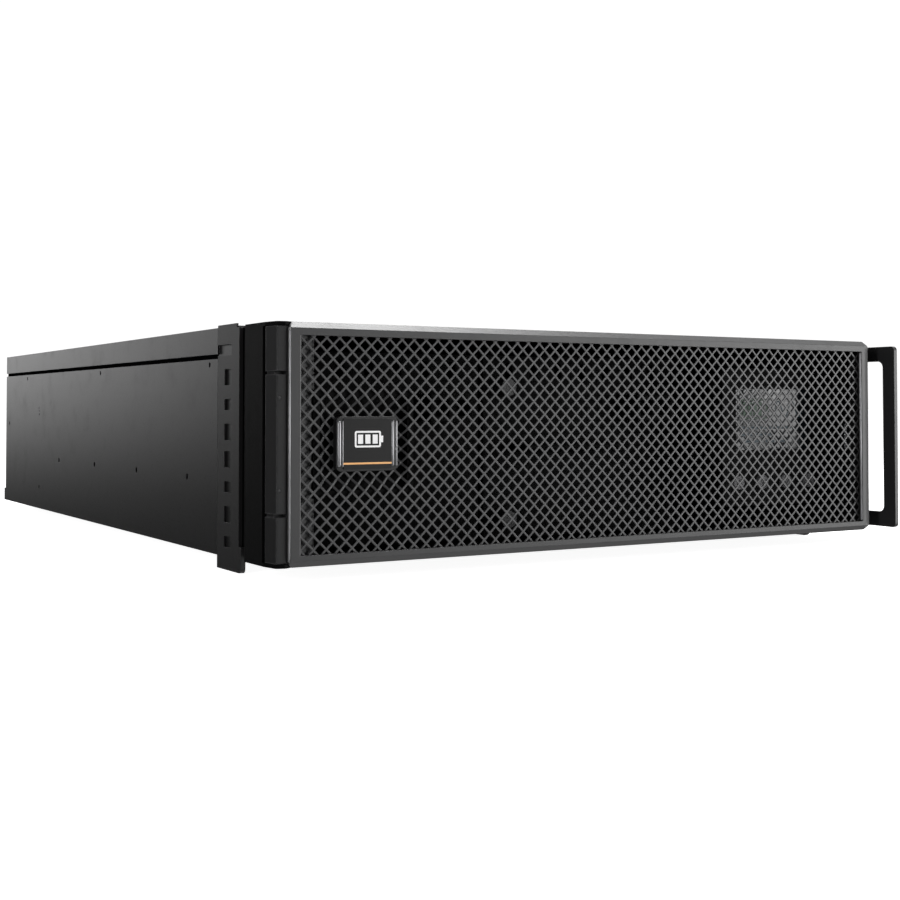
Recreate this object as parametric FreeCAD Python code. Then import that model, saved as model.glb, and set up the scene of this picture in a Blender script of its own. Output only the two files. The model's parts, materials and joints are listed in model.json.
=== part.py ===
"""Rack-mounted uninterruptible power supply, three rack units high, with a hinged mesh door.

Design coordinates in millimetres: X=0 on the door's centre line, Y=0 on the door's front face and
positive to the rear, Z=0 on the door's lower edge. Each part is moved by ORIGIN when it is saved,
which puts the row's origin at the centre of the whole object's footprint, on the rest plane.
"""

import FreeCAD
import Part

import math
import os

V = FreeCAD.Vector
X_AXIS = V(1, 0, 0)
Y_AXIS = V(0, 1, 0)
Z_AXIS = V(0, 0, 1)

# General fits
GAP = 0.3  # air between neighbouring parts
FIT = 0.05  # radial running clearance of a shaft in its bore
SHEET = 1.2  # chassis sheet thickness

# Door
DOOR_HALF = 220.0
DOOR_H = 131.2
DOOR_BACK = 13.0
DOOR_CHAMFER = 3.3
DOOR_LEFT_BEVEL = 1.1
DOOR_RIGHT_BEVEL = (3.7, 0.6)  # its reach in X and in Y
DOOR_CORNER = 3.6
DOOR_LIP = 2.6
DOOR_WALL = 2.8
OPEN_HALF = 212.8
OPEN_Z0 = 6.3
OPEN_Z1 = 124.0
OPEN_EDGE_R = 0.8
MESH_T = 1.4
STRIP_LEFT = -202.6  # inner edges of the flanges behind the mesh
STRIP_RIGHT = 208.0
STRIP_Y = (5.9, 7.1)
MESH_PITCH = 22.8  # one stand-in diamond covers three real ones each way
MESH_STRAND = 4.0

# Badge and the square dish that it sits in
BADGE_X = -172.9
BADGE_Z = 65.4
BADGE_W = 37.6
BADGE_H = 29.9
BADGE_Y0 = 1.0
BADGE_Y1 = 4.8
DISH_HALF_W = 27.0
DISH_HALF_H = 25.3
DISH_FLOOR = 8.4
DISH_WALL = 1.0
STEM_R = 4.0
STEM_END = 12.9
RIB_IN = 1.7
RIB_HALF = 1.0
RIB_HALF_H = 12.5
FACE_IN = 4.0
FACE_T = 0.6
PRINT_T = 0.2
STRIPE_DROP = 10.7
SYMBOL_RISE = 2.5

# Door hinge: a vertical pin at the left end of the door
HINGE_X = -223.8
HINGE_Y = 11.0
PIN_R = 1.25
CHEEK_R = 9.77  # reach of the fixed cheek plates round the pin
CHEEK_T = 2.1
COLUMN = ((-228.0, 14.0), (-226.0, 2.6), (-220.0, 2.4), (-220.0, 13.0))
COLUMN_EDGE_R = 0.6
SPINE = ((-226.65, 14.0), (-225.4, 7.0), (-220.0, 6.8), (-220.0, 13.0))
GRIP_HOLLOW = ((-226.8, 14.5), (-225.6, 6.8), (-219.0, 6.6), (-219.0, 14.5))
GRIP_X1 = -220.3
GRIP_Z0 = 28.7
GRIP_Z1 = 102.9
GRIP_GAP = 1.8  # the dark line above and below the grip cover
RAIL_SCREWS_Z = (41.2, 90.4)
RAIL_SCREW_X = -224.7
RAIL_SCREW_Y = (2.1, 5.8)
RAIL_SCREW_R = 0.9

# Front housing and neck
HOUSING_HALF = 228.0
HOUSING_Y0 = 17.0
HOUSING_Y1 = 42.0
HOUSING_WALL = 2.0
NECK_HALF = 220.0
RIM_X = (-212.0, 222.0)
RIM_OPEN_X = (-218.0, 208.0)
NECK_Z0 = 0.4
NECK_Z1 = 131.0
BAY_Y0 = 66.0  # front of the sheet-metal chassis

# Chassis
CHASSIS_HALF = 223.0
CHASSIS_REAR = 643.4
FLOOR_Z = -1.4
ROOF_Z = 132.2
SEAM_Z = 115.3
SEAM_GAP = 2.8
POST_Y1 = 96.8
POST_T = 1.1
HOLE_DEPTH = 5.5  # reach of a side hole, from 1 mm outside the wall
SCREW_SUNK = 0.9
TAB_Y = 5.5  # the side walls' lower rear tabs
TAB_H = 11.0
SIDE_HOLE_AT = (630.2, 70.4)
LOW_HOLE_AT = (518.0, 17.0)
LAMP_HOLES_Y = 519.4
LAMP_HOLES_Z = (79.3, 82.0, 84.7)
POST_DROP = 3.7
EAR_RISE = 1.4
POST_FOOT_Y = 59.2
POST_FOOT_X = 2.8
POST_TOE = (62.8, 6.0)  # rear and top of the block at the foot's front
REST_Z = -8.8
RAIL_HOLE_R = 2.0
RAIL_HOLE_Z = 42.1
RAIL_HOLES_Y = (148.4, 250.0, 351.6, 453.2)
COVER_HOLES_Y = (109.8, 337.2, 561.8)
COVER_HOLE_Z = 110.7
COVER_HOLE_R = 1.6
COVER_FLANGE_Z = 102.0
GASKET_Z = (112.6, 118.4)

# Front posts: a column of small windows
WINDOW_Y0 = 75.0
WINDOW_Y1 = 85.5
WINDOW_FIRST_Z = 7.4
WINDOW_PITCH = 15.9
WINDOW_SHORT = 6.3
WINDOW_TALL = 9.4
WINDOW_IS_TALL = (False, True, False, True, True, False, True, False)
FOOT_Y = (110.0, 560.0)
FOOT_X = 185.0
FOOT_R = 11.0

# Handle plate on the right
HANDLE_X0 = 236.0
HANDLE_X1 = 239.0
HANDLE_Y0 = -8.7
HANDLE_BAR = 10.2
HANDLE_Z0 = 1.5
HANDLE_Z1 = 128.0
HANDLE_LEG = 10.3
HANDLE_REAR = 42.0
HANDLE_HOLE_Y = 32.0

# Battery trays, two modules side by side
BLOCK_W = 151.0
BLOCK_D = 65.0
BLOCK_H = 94.0
BLOCKS_PER_TRAY = 5
BLOCK_PITCH = 66.0
TRAY_X = (-215.0, -55.0)
TRAY_W = 156.0
TRAY_Y0 = 69.0
TRAY_Y1 = 406.0
TRAY_Z = 0.6
TRAY_FRONT_H = 118.0
PULL_X = 56.0
PULL_Z = 60.0
PULL_HALF = 35.0
PULL_REACH = 20.0
PULL_R = 3.0
THUMB_X = 14.0
THUMB_Z = (14.0, 98.0)
BULKHEAD_Y = 412.0

# Control panel behind the door
PANEL_X0 = 112.0
PANEL_X1 = 204.0
PANEL_Y = 30.0
PANEL_Z0 = 18.0
PANEL_Z1 = 112.0
PANEL_T = 3.0
BUTTON_R = 5.0
BUTTON_PROUD = 2.0
BUTTON_Z = 34.0
BUTTONS = {"button_up": 125.0, "button_down": 147.0, "button_enter": 169.0, "button_escape": 191.0}

# Rear
REAR_Y0 = 640.8
REAR_Y1 = 642.2
FAN_SIDE = 80.0
FAN_DEPTH = 25.4
FAN_BORE_R = 38.0
FAN_HUB_R = 17.0
FAN_HOLE = 35.75  # screw hole offset from the fan centre
FAN_HOLE_R = 2.0
FAN_SHAFT_R = 1.5
FANS = {"fan_rotor_left": -168.0, "fan_rotor_right": -82.0}
FAN_Z = 66.0
FAN_BLADES = 7
GUARD_RINGS = (12.0, 19.0, 26.0, 33.0)
BREAKERS = {"input_breaker": (-20.0, 88.0), "battery_breaker": (14.0, 88.0)}
BREAKER_W = 24.0
BREAKER_H = 42.0
BREAKER_DEPTH = 49.8
DRUM_R = 8.0
TOGGLE_TILT = 18.0
TERMINAL_X = (-32.0, 60.0)
TERMINAL_Z = (8.0, 56.0)
TERMINAL_REAR = 663.4
TERMINAL_HEAD = 1.4
C13_PLACES = ((92.0, 24.0), (128.0, 24.0), (92.0, 54.0), (128.0, 54.0))
C13_SIZE = (31.0, 25.0)
C19_PLACES = ((176.0, 24.0), (176.0, 54.0))
C19_SIZE = (38.0, 27.0)
PORTS_X = (44.0, 128.0)
PORTS_Z = (84.0, 116.0)
SLOT_X = (140.0, 208.0)
SLOT_Z = (80.0, 116.0)
STUD_PLACE = (-46.0, 14.0)

# Power electronics
BOARD = (-120.0, 214.0, 428.0, 585.0)
BOARD_Z = 8.0
BOARD_T = 1.6
BOARD_POST_R = 3.5
CONTROL = (-212.0, -132.0, 440.0, 560.0)
CONTROL_Z = 14.0
CONTROL_POST_R = 3.0
SINKS = ((-96.0, 436.0, 566.0), (4.0, 436.0, 530.0))  # left side, front and rear of each heatsink
SINK_W = 64.0
SINK_H = 62.0
SINK_BASE = 7.0
FIN_PITCH = 5.7
FIN_T = 1.6
FIN_COUNT = 12
CAN_R = 15.0
CAN_H = 58.0
CAN_AT = (102.0, 446.0)
CAN_PITCH = 33.0
CHOKE_X = 187.0
CHOKES_Y = (450.0, 500.0, 550.0)
CHOKE_R = 15.0
CHOKE_WIRE_R = 8.0
CORE = (40.0, 72.0, 536.0, 580.0, 40.0)  # sides, front, rear and height of the transformer core
COIL = (34.0, 78.0, 544.0, 572.0, 6.0, 34.0)
LEAD_X = 120.0
LEAD_Z = 108.0
LEAD_R = 3.0
LEAD_APART = 4.2
LEAD_Y = (90.0, 470.0)
CABLE_HOLE_R = 9.0
AIR_SLOT_W = 6.0
AIR_SLOT_PITCH = 12.0
AIR_SLOT_X0 = -205.0
AIR_SLOT_COUNT = 34
AIR_SLOTS_Z = ((16.0, 62.0), (70.0, 92.0))

ORIGIN = V(
    (HANDLE_X1 - HOUSING_HALF) / 2,
    (HANDLE_Y0 + TERMINAL_REAR + TERMINAL_HEAD) / 2,
    REST_Z,
)


# Shape helpers
def box(x0, x1, y0, y1, z0, z1):
    return Part.makeBox(x1 - x0, y1 - y0, z1 - z0, V(x0, y0, z0))


def rod(radius, start, axis, length):
    return Part.makeCylinder(radius, length, V(*start), axis)


def prism_z(points, z0, z1):
    ring = [V(x, y, z0) for x, y in points]
    return Part.Face(Part.makePolygon(ring + ring[:1])).extrude(V(0, 0, z1 - z0))


def prism_y(points, y0, y1):
    ring = [V(x, y0, z) for x, z in points]
    return Part.Face(Part.makePolygon(ring + ring[:1])).extrude(V(0, y1 - y0, 0))


def fuse(*shapes):
    return shapes[0].multiFuse(list(shapes[1:])).removeSplitter()


def cut(shape, *tools):
    return shape.cut(list(tools))


def group(shapes):
    return Part.makeCompound(list(shapes))


def mirrored(shape):
    return shape.mirror(V(0, 0, 0), X_AXIS)


def edges_along(shape, axis, keep=lambda c: True):
    """Straight edges of shape that run along axis and whose centre passes keep."""
    found = []
    for edge in shape.Edges:
        if len(edge.Vertexes) != 2:
            continue
        run = edge.Vertexes[1].Point - edge.Vertexes[0].Point
        if run.cross(axis).Length < 1e-6 and keep(edge.CenterOfMass):
            found.append(edge)
    return found


def rounded(shape, radius, axis, keep=lambda c: True):
    return shape.makeFillet(radius, edges_along(shape, axis, keep))


def plate_y(x0, x1, y0, y1, z0, z1, radius):
    """A plate facing the front or rear, with rounded corners."""
    return rounded(box(x0, x1, y0, y1, z0, z1), radius, Y_AXIS)


def countersunk(head_r, shank_r, start, axis, length):
    """A flush screw: start is on the head's face and axis points along the shank."""
    depth = head_r - shank_r
    head = Part.makeCone(head_r, shank_r, depth, V(*start), axis)
    return fuse(head, Part.makeCylinder(shank_r, length, V(*start), axis))


def pan_screw(head_r, head_h, shank_r, start, axis, length):
    """A raised-head screw: start is under the head and axis points along the shank."""
    base = V(*start)
    head = Part.makeCylinder(head_r, head_h, base - axis * head_h, axis)
    return fuse(head, Part.makeCylinder(shank_r, length, base, axis))


# Door
def door_blank():
    """The door's outer block: sloped upper and lower front edges, small bevels left and right."""
    low = box(-DOOR_HALF, DOOR_HALF, 0, 1, DOOR_CHAMFER, DOOR_H - DOOR_CHAMFER)
    full = box(-DOOR_HALF, DOOR_HALF, DOOR_CHAMFER, DOOR_BACK, 0, DOOR_H)
    wires = []
    for slab, radius in ((low, 1.0), (full, DOOR_CORNER)):
        face = min(rounded(slab, radius, Y_AXIS).Faces, key=lambda f: f.CenterOfMass.y)
        wires.append(face.OuterWire)
    body = fuse(Part.makeLoft(wires, True, True), rounded(full, DOOR_CORNER, Y_AXIS))
    bevel = DOOR_LEFT_BEVEL
    left = prism_z(
        ((-DOOR_HALF - 1, bevel + 1), (-DOOR_HALF + bevel + 1, -1), (-DOOR_HALF - 1, -1)),
        -1, DOOR_H + 1)
    reach, depth = DOOR_RIGHT_BEVEL
    slope = depth / reach
    right = prism_z(
        ((DOOR_HALF - reach - 1, -slope), (DOOR_HALF + 1, depth + slope),
         (DOOR_HALF + 1, -1), (DOOR_HALF - reach - 1, -1)),
        -1, DOOR_H + 1)
    return cut(body, left, right)


def door_strips():
    """Upright flanges inside the door, left and right, close behind the mesh."""
    inner = DOOR_HALF - DOOR_WALL
    z0 = DOOR_CHAMFER
    z1 = DOOR_H - DOOR_CHAMFER
    left = box(-inner - 1, STRIP_LEFT, *STRIP_Y, z0 - 1, z1 + 1)
    right = box(STRIP_RIGHT, inner + 1, *STRIP_Y, z0 - 1, z1 + 1)
    left = rounded(left, 0.5, Z_AXIS, lambda c: c.x > STRIP_LEFT - 1)
    right = rounded(right, 0.5, Z_AXIS, lambda c: c.x < STRIP_RIGHT + 1)
    return [left, right]


def at_window_side(point):
    return abs(point.y) < FIT and abs(abs(point.x) - OPEN_HALF) < FIT


def door_frame():
    window = box(-OPEN_HALF, OPEN_HALF, -1, DOOR_BACK + 1, OPEN_Z0, OPEN_Z1)
    blank = rounded(cut(door_blank(), window), OPEN_EDGE_R, Z_AXIS, at_window_side)
    inner = DOOR_HALF - DOOR_WALL
    pocket = box(-inner, inner, DOOR_LIP, DOOR_BACK + 1, DOOR_CHAMFER, DOOR_H - DOOR_CHAMFER)
    notch_r = CHEEK_R + GAP
    notch_h = CHEEK_T + GAP
    low = rod(notch_r, (HINGE_X, HINGE_Y, -1), Z_AXIS, notch_h + 1)
    high = rod(notch_r, (HINGE_X, HINGE_Y, DOOR_H - notch_h), Z_AXIS, notch_h + 1)
    hollow = fuse(cut(blank, pocket), *door_strips())
    return cut(hollow, low, high)


def diamond(cx, cz, half, y0, y1):
    return prism_y([(cx - half, cz), (cx, cz + half), (cx + half, cz), (cx, cz - half)], y0, y1)


def door_mesh():
    """The mesh sheet: diamond holes on two interleaved square grids, and the dish's square hole."""
    x1 = DOOR_HALF - DOOR_WALL - GAP
    z0 = DOOR_CHAMFER + GAP
    z1 = DOOR_H - DOOR_CHAMFER - GAP
    y0 = DOOR_LIP + GAP
    y1 = y0 + MESH_T
    half = MESH_PITCH / 2 - MESH_STRAND * math.sqrt(0.5)
    columns = int(x1 / MESH_PITCH) + 1
    middle = (z0 + z1) / 2
    holes = []
    for shift in (0.0, 0.5):
        for i in range(-columns, columns + 1):
            for j in range(-3, 4):
                cx = (i + shift) * MESH_PITCH
                cz = middle + (j + shift) * MESH_PITCH
                inside = abs(cx) + half < x1 - 1 and z0 + 1 < cz - half and cz + half < z1 - 1
                far_x = abs(cx - BADGE_X) > DISH_HALF_W + half + 1
                far_z = abs(cz - BADGE_Z) > DISH_HALF_H + half + 1
                if inside and (far_x or far_z):
                    holes.append(diamond(cx, cz, half, y0 - 1, y1 + 1))
    dish = box(BADGE_X - DISH_HALF_W, BADGE_X + DISH_HALF_W, y0 - 1, y1 + 1,
               BADGE_Z - DISH_HALF_H, BADGE_Z + DISH_HALF_H)
    return cut(box(-x1, x1, y0, y1, z0, z1), dish, *holes)


def badge_recess():
    """A square pan behind the mesh, with a flange round its mouth."""
    y0 = DOOR_LIP + 2 * GAP + MESH_T
    back = DISH_FLOOR + DISH_WALL
    w = DISH_HALF_W
    h = DISH_HALF_H
    t = DISH_WALL
    flange = box(BADGE_X - w - 4, BADGE_X + w + 4, y0, y0 + t, BADGE_Z - h - 4, BADGE_Z + h + 4)
    cup = box(BADGE_X - w - t, BADGE_X + w + t, y0, back, BADGE_Z - h - t, BADGE_Z + h + t)
    hollow = box(BADGE_X - w, BADGE_X + w, y0 - 1, DISH_FLOOR, BADGE_Z - h, BADGE_Z + h)
    bore = rod(STEM_R + FIT, (BADGE_X, DISH_FLOOR - 1, BADGE_Z), Y_AXIS, DISH_WALL + 2)
    return cut(fuse(flange, cup), hollow, bore)


def badge_body():
    """The turning badge: a rounded block with a side rib left and right, and a stem."""
    w = BADGE_W / 2
    h = BADGE_H / 2
    block = plate_y(BADGE_X - w, BADGE_X + w, BADGE_Y0, BADGE_Y1, BADGE_Z - h, BADGE_Z + h, 3.0)
    stem = rod(STEM_R, (BADGE_X, BADGE_Y1, BADGE_Z), Y_AXIS, STEM_END - BADGE_Y1)
    ribs = []
    for side in (-1, 1):
        x = BADGE_X + side * (w - RIB_IN)
        ribs.append(box(x - RIB_HALF, x + RIB_HALF, BADGE_Y0 - 0.7, BADGE_Y0 + 1,
                        BADGE_Z - RIB_HALF_H, BADGE_Z + RIB_HALF_H))
    return fuse(block, stem, *ribs)


def badge_clip():
    """The retaining ring on the stem behind the dish floor."""
    back = DISH_FLOOR + DISH_WALL + 0.2
    ring = rod(7.5, (BADGE_X, back, BADGE_Z), Y_AXIS, 1.4)
    return cut(ring, rod(STEM_R, (BADGE_X, back - 1, BADGE_Z), Y_AXIS, 4))


def badge_face():
    w = BADGE_W / 2 - FACE_IN
    h = BADGE_H / 2 - 1.2
    y0 = BADGE_Y0 - FACE_T
    return plate_y(BADGE_X - w, BADGE_X + w, y0, BADGE_Y0, BADGE_Z - h, BADGE_Z + h, 0.8)


def badge_stripe():
    w = BADGE_W / 2 - FACE_IN
    y1 = BADGE_Y0 - FACE_T
    z = BADGE_Z - STRIPE_DROP
    return box(BADGE_X - w, BADGE_X + w, y1 - PRINT_T, y1, z - 0.5, z + 0.5)


def badge_symbol():
    """A plain battery sign: a ring round three level bars."""
    y1 = BADGE_Y0 - FACE_T
    y0 = y1 - PRINT_T
    x = BADGE_X
    z = BADGE_Z + SYMBOL_RISE
    outer = plate_y(x - 8, x + 8, y0, y1, z - 4.5, z + 4.5, 1.0)
    shell = cut(outer, box(x - 7, x + 7, y0 - 1, y1 + 1, z - 3.5, z + 3.5))
    tip = box(x + 8, x + 9.4, y0, y1, z - 1.8, z + 1.8)
    bars = [box(x + d, x + d + 3, y0, y1, z - 2.5, z + 2.5) for d in (-6, -1.5, 3)]
    return group([fuse(shell, tip)] + bars)


# Door hinge
def column_slice(z0, z1):
    """A length of the hinge column, with its two outer edges rounded."""
    x = COLUMN[1][0] + 0.1
    return rounded(prism_z(COLUMN, z0, z1), COLUMN_EDGE_R, Z_AXIS, lambda c: c.x < x)


def screw_hole(z):
    y0, y1 = RAIL_SCREW_Y
    return rod(RAIL_SCREW_R, (RAIL_SCREW_X, y0, z), Y_AXIS, y1 - y0)


def hinge_rail():
    """The column at the door's left end, bored for the pin and narrowed behind the grip cover."""
    z0 = CHEEK_T + GAP
    z1 = DOOR_H - CHEEK_T - GAP
    low = GRIP_Z0 - GRIP_GAP
    high = GRIP_Z1 + GRIP_GAP
    whole = fuse(column_slice(z0, low), prism_z(SPINE, low, high), column_slice(high, z1))
    bore = rod(PIN_R + FIT, (HINGE_X, HINGE_Y, 0), Z_AXIS, DOOR_H)
    return cut(whole, bore)


def grip_cover():
    """The cover strip on the middle of the column, flush with the column above and below it."""
    strip = column_slice(GRIP_Z0, GRIP_Z1)
    hollow = prism_z(GRIP_HOLLOW, GRIP_Z0 - 1, GRIP_Z1 + 1)
    side = box(GRIP_X1, GRIP_X1 + 1, 0, DOOR_BACK + 2, GRIP_Z0 - 1, GRIP_Z1 + 1)
    return cut(strip, hollow, side, *[screw_hole(z) for z in RAIL_SCREWS_Z])


def rail_screws():
    """Two small domed screws in the grip cover."""
    screws = []
    for z in RAIL_SCREWS_Z:
        screw = screw_hole(z)
        screws.append(screw.makeFillet(0.35, [min(screw.Edges, key=lambda e: e.CenterOfMass.y)]))
    return group(screws)


def hinge_pin():
    return rod(PIN_R, (HINGE_X, HINGE_Y, 0.5), Z_AXIS, DOOR_H - 1.0)


def door_striker():
    """Steel plate on the door's right wall, for the magnet."""
    inner = DOOR_HALF - DOOR_WALL
    return box(inner - 12, inner, 8.4, 9.6, 56, 74)


def door_magnet():
    inner = DOOR_HALF - DOOR_WALL
    return box(inner - 7.0, inner - GAP, 9.9, DOOR_BACK + 0.4, 58, 72)


# Front housing
def cheek(z0, z1):
    """A fixed end plate that carries the hinge pin: its reach stays inside CHEEK_R of the pin."""
    y = DOOR_LEFT_BEVEL
    points = ((-HOUSING_HALF, 18.0), *COLUMN[:2], (-DOOR_HALF, y), (-213.9, y), (-213.9, 18.0))
    reach = rod(CHEEK_R, (HINGE_X, HINGE_Y, z0), Z_AXIS, z1 - z0)
    return prism_z(points, z0, z1).common(reach)


def front_housing():
    w = HOUSING_HALF
    t = HOUSING_WALL
    shell = cut(
        box(-w, w, HOUSING_Y0, HOUSING_Y1, 0, DOOR_H),
        box(-w + t, w - t, HOUSING_Y0 + t, HOUSING_Y1 + 1, t, DOOR_H - t),
    )
    tube = box(-NECK_HALF, NECK_HALF, HOUSING_Y0, BAY_Y0, NECK_Z0, NECK_Z1)
    rim = box(*RIM_X, DOOR_BACK + 0.4, HOUSING_Y0, 0.4, DOOR_H - 0.4)
    inside = NECK_HALF - t
    step = HOUSING_Y0 + t
    mouth = box(*RIM_OPEN_X, 0, step + 1, NECK_Z0 + t, NECK_Z1 - t)
    throat = box(-inside, inside, step, BAY_Y0 + 1, NECK_Z0 + t, NECK_Z1 - t)
    body = fuse(shell, tube, rim, cheek(0, CHEEK_T), cheek(DOOR_H - CHEEK_T, DOOR_H))
    handle = [rod(2.0, (w - 3, HANDLE_HOLE_Y, z), X_AXIS, 6) for z in handle_hole_z()]
    return cut(body, mouth, throat, hinge_pin(), *handle)


# Right-hand handle
def handle_hole_z():
    return (HANDLE_Z0 + HANDLE_LEG / 2, HANDLE_Z1 - HANDLE_LEG / 2)


def rack_handle():
    """A flat U-shaped plate beside the door; a pad under each leg stands on the housing."""
    outer = box(HANDLE_X0, HANDLE_X1, HANDLE_Y0, HANDLE_REAR, HANDLE_Z0, HANDLE_Z1)
    outer = rounded(outer, 3.0, X_AXIS)
    inner = box(HANDLE_X0 - 1, HANDLE_X1 + 1, HANDLE_Y0 + HANDLE_BAR, HANDLE_REAR + 9,
                HANDLE_Z0 + HANDLE_LEG, HANDLE_Z1 - HANDLE_LEG)
    inner = rounded(inner, 4.5, X_AXIS)
    y = HANDLE_HOLE_Y
    pads = [box(HOUSING_HALF, HANDLE_X0, y - 9, y + 9, z - 5, z + 5) for z in handle_hole_z()]
    return cut(fuse(cut(outer, inner), *pads), *[handle_screw(z) for z in handle_hole_z()])


def handle_screw(z):
    return countersunk(4.0, 2.0, (HANDLE_X1, HANDLE_HOLE_Y, z), V(-1, 0, 0), 14.5)


# Chassis
def side_profile_holes(side, z, places, radius):
    start = side * (CHASSIS_HALF + 1)
    return [rod(radius, (start, y, z), V(-side, 0, 0), HOLE_DEPTH) for y in places]


def chassis_tray():
    """Floor and two side walls in one sheet, set inwards behind the front posts."""
    w = CHASSIS_HALF
    n = w - POST_T - 0.2
    rear = CHASSIS_REAR
    top = SEAM_Z - SEAM_GAP / 2
    floor = box(-w, w, POST_Y1, rear, FLOOR_Z, FLOOR_Z + SHEET)
    front_floor = box(-n, n, BAY_Y0, POST_Y1 + SHEET, FLOOR_Z, FLOOR_Z + SHEET)
    sheets = [floor, front_floor]
    cuts = []
    for side in (-1, 1):
        wall = box(w - SHEET, w, POST_Y1, rear, FLOOR_Z, top)
        step = box(n - SHEET, w, POST_Y1, POST_Y1 + SHEET, FLOOR_Z, top)
        front = box(n - SHEET, n, BAY_Y0, POST_Y1 + SHEET, FLOOR_Z, top)
        tab = box(w - SHEET, w, rear - 1, rear + TAB_Y, FLOOR_Z, FLOOR_Z + TAB_H)
        walls = fuse(wall, step, front, tab)
        sheets.append(walls if side > 0 else mirrored(walls))
        cuts += side_profile_holes(side, RAIL_HOLE_Z, RAIL_HOLES_Y, RAIL_HOLE_R)
        cuts += side_profile_holes(side, COVER_HOLE_Z, COVER_HOLES_Y, COVER_HOLE_R)
        for y, z in (SIDE_HOLE_AT, LOW_HOLE_AT):
            cuts += side_profile_holes(side, z, (y,), COVER_HOLE_R)
        for z in LAMP_HOLES_Z:
            cuts += side_profile_holes(side, z, (LAMP_HOLES_Y,), 0.9)
    return cut(fuse(*sheets), *cuts)


def top_cover():
    """The lid: a flat top with short skirts, and flanges that reach down inside the side walls."""
    w = CHASSIS_HALF
    n = w - POST_T - 0.2
    skirt_z = SEAM_Z + SEAM_GAP / 2
    top = box(-w, w, POST_Y1, CHASSIS_REAR, ROOF_Z - SHEET, ROOF_Z)
    step_y = POST_Y1 + SHEET
    front = box(-n, n, BAY_Y0, step_y, ROOF_Z - SHEET, ROOF_Z)
    sheets = [top, front]
    cuts = []
    for side in (-1, 1):
        skirt = box(w - SHEET, w, POST_Y1, CHASSIS_REAR, skirt_z, ROOF_Z)
        x = w - 2 * SHEET
        flange = box(x - SHEET, x, step_y + 1, CHASSIS_REAR - 0.4, COVER_FLANGE_Z, ROOF_Z)
        step = box(n - SHEET, w, POST_Y1, step_y, skirt_z, ROOF_Z)
        cheek_skirt = box(n - SHEET, n, BAY_Y0, step_y, SEAM_Z - SEAM_GAP / 2 + GAP, ROOF_Z)
        for sheet in (skirt, flange, step, cheek_skirt):
            sheets.append(sheet if side > 0 else mirrored(sheet))
        cuts += side_profile_holes(side, COVER_HOLE_Z, COVER_HOLES_Y, COVER_HOLE_R)
    return cut(fuse(*sheets), *cuts)


def seam_gasket():
    """A dark foam strip on each side, behind the gap between the cover and the side wall."""
    outer = CHASSIS_HALF - SHEET - FIT
    inner = CHASSIS_HALF - 2 * SHEET + FIT
    right = box(inner, outer, POST_Y1 + SHEET + GAP, CHASSIS_REAR - 0.4, *GASKET_Z)
    return group([mirrored(right), right])


def chassis_screws():
    """The cover's side screws, sunk in their holes, and the handle's flush screws."""
    screws = []
    for side in (-1, 1):
        for y in COVER_HOLES_Y:
            start = (side * (CHASSIS_HALF - SCREW_SUNK), y, COVER_HOLE_Z)
            screws.append(rod(COVER_HOLE_R, start, V(-side, 0, 0), 4.0))
    return group(screws + [handle_screw(z) for z in handle_hole_z()])


def front_post():
    """The left post: a folded plate with windows, an ear at the top and a foot at the bottom."""
    w = CHASSIS_HALF
    y0 = BAY_Y0 - 3
    y1 = POST_Y1 - 0.4
    under = FLOOR_Z - 0.2
    plate = box(-w, -w + POST_T, y0, y1, -POST_DROP, DOOR_H)
    fold = box(-w, -NECK_HALF - 0.6, y0, y0 + POST_T, -POST_DROP, DOOR_H)
    ear = box(-w, -w + POST_T, y0 + 4, y1, DOOR_H - 9, ROOF_Z + EAR_RISE)
    foot = box(-w, -w + POST_FOOT_X, POST_FOOT_Y, y1, REST_Z, under)
    toe = box(-w, -w + POST_FOOT_X, POST_FOOT_Y, POST_TOE[0], REST_Z, POST_TOE[1])
    block = fuse(foot, toe)
    block = rounded(block, 3.0, X_AXIS, lambda c: c.y < POST_FOOT_Y + 1 and c.z < REST_Z + 1)
    windows = []
    for i, tall in enumerate(WINDOW_IS_TALL):
        z = WINDOW_FIRST_Z + i * WINDOW_PITCH
        half = (WINDOW_TALL if tall else WINDOW_SHORT) / 2
        is_top = i == len(WINDOW_IS_TALL) - 1
        rear = POST_Y1 + 1 if is_top else WINDOW_Y1
        windows.append(box(-w - 1, -w + POST_T + 1, WINDOW_Y0, rear, z - half, z + half))
    return cut(fuse(plate, fold, ear, block), *windows)


def rubber_feet():
    feet = []
    for x in (-FOOT_X, FOOT_X):
        for y in FOOT_Y:
            cone = Part.makeCone(FOOT_R - 1.5, FOOT_R, FLOOR_Z - REST_Z, V(x, y, REST_Z), Z_AXIS)
            feet.append(cone)
    return group(feet)


# Battery bay
def battery_tray(x0):
    """One battery tray: floor, low side and rear walls, and a tall front with slots."""
    x1 = x0 + TRAY_W
    t = 1.0
    z = TRAY_Z
    floor = box(x0, x1, TRAY_Y0, TRAY_Y1, z, z + t)
    left = box(x0, x0 + t, TRAY_Y0, TRAY_Y1, z, z + 34)
    right = box(x1 - t, x1, TRAY_Y0, TRAY_Y1, z, z + 34)
    rear = box(x0, x1, TRAY_Y1 - t, TRAY_Y1, z, z + 34)
    front = box(x0, x1, TRAY_Y0, TRAY_Y0 + t, z, z + TRAY_FRONT_H)
    slots = []
    for i in range(7):
        cx = x0 + TRAY_W * (i + 1) / 8
        slots.append(plate_y(cx - 3, cx + 3, TRAY_Y0 - 1, TRAY_Y0 + 2, 104, 114, 2.5))
    plug = box(x1 - 44, x1 - 12, TRAY_Y0 - 1, TRAY_Y0 + 2, 76, 94)
    holes = [rod(2.0, (x0 + THUMB_X, TRAY_Y0 - 1, z), Y_AXIS, 3) for z in THUMB_Z]
    return cut(fuse(floor, left, right, rear, front), plug, *(slots + holes))


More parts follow.
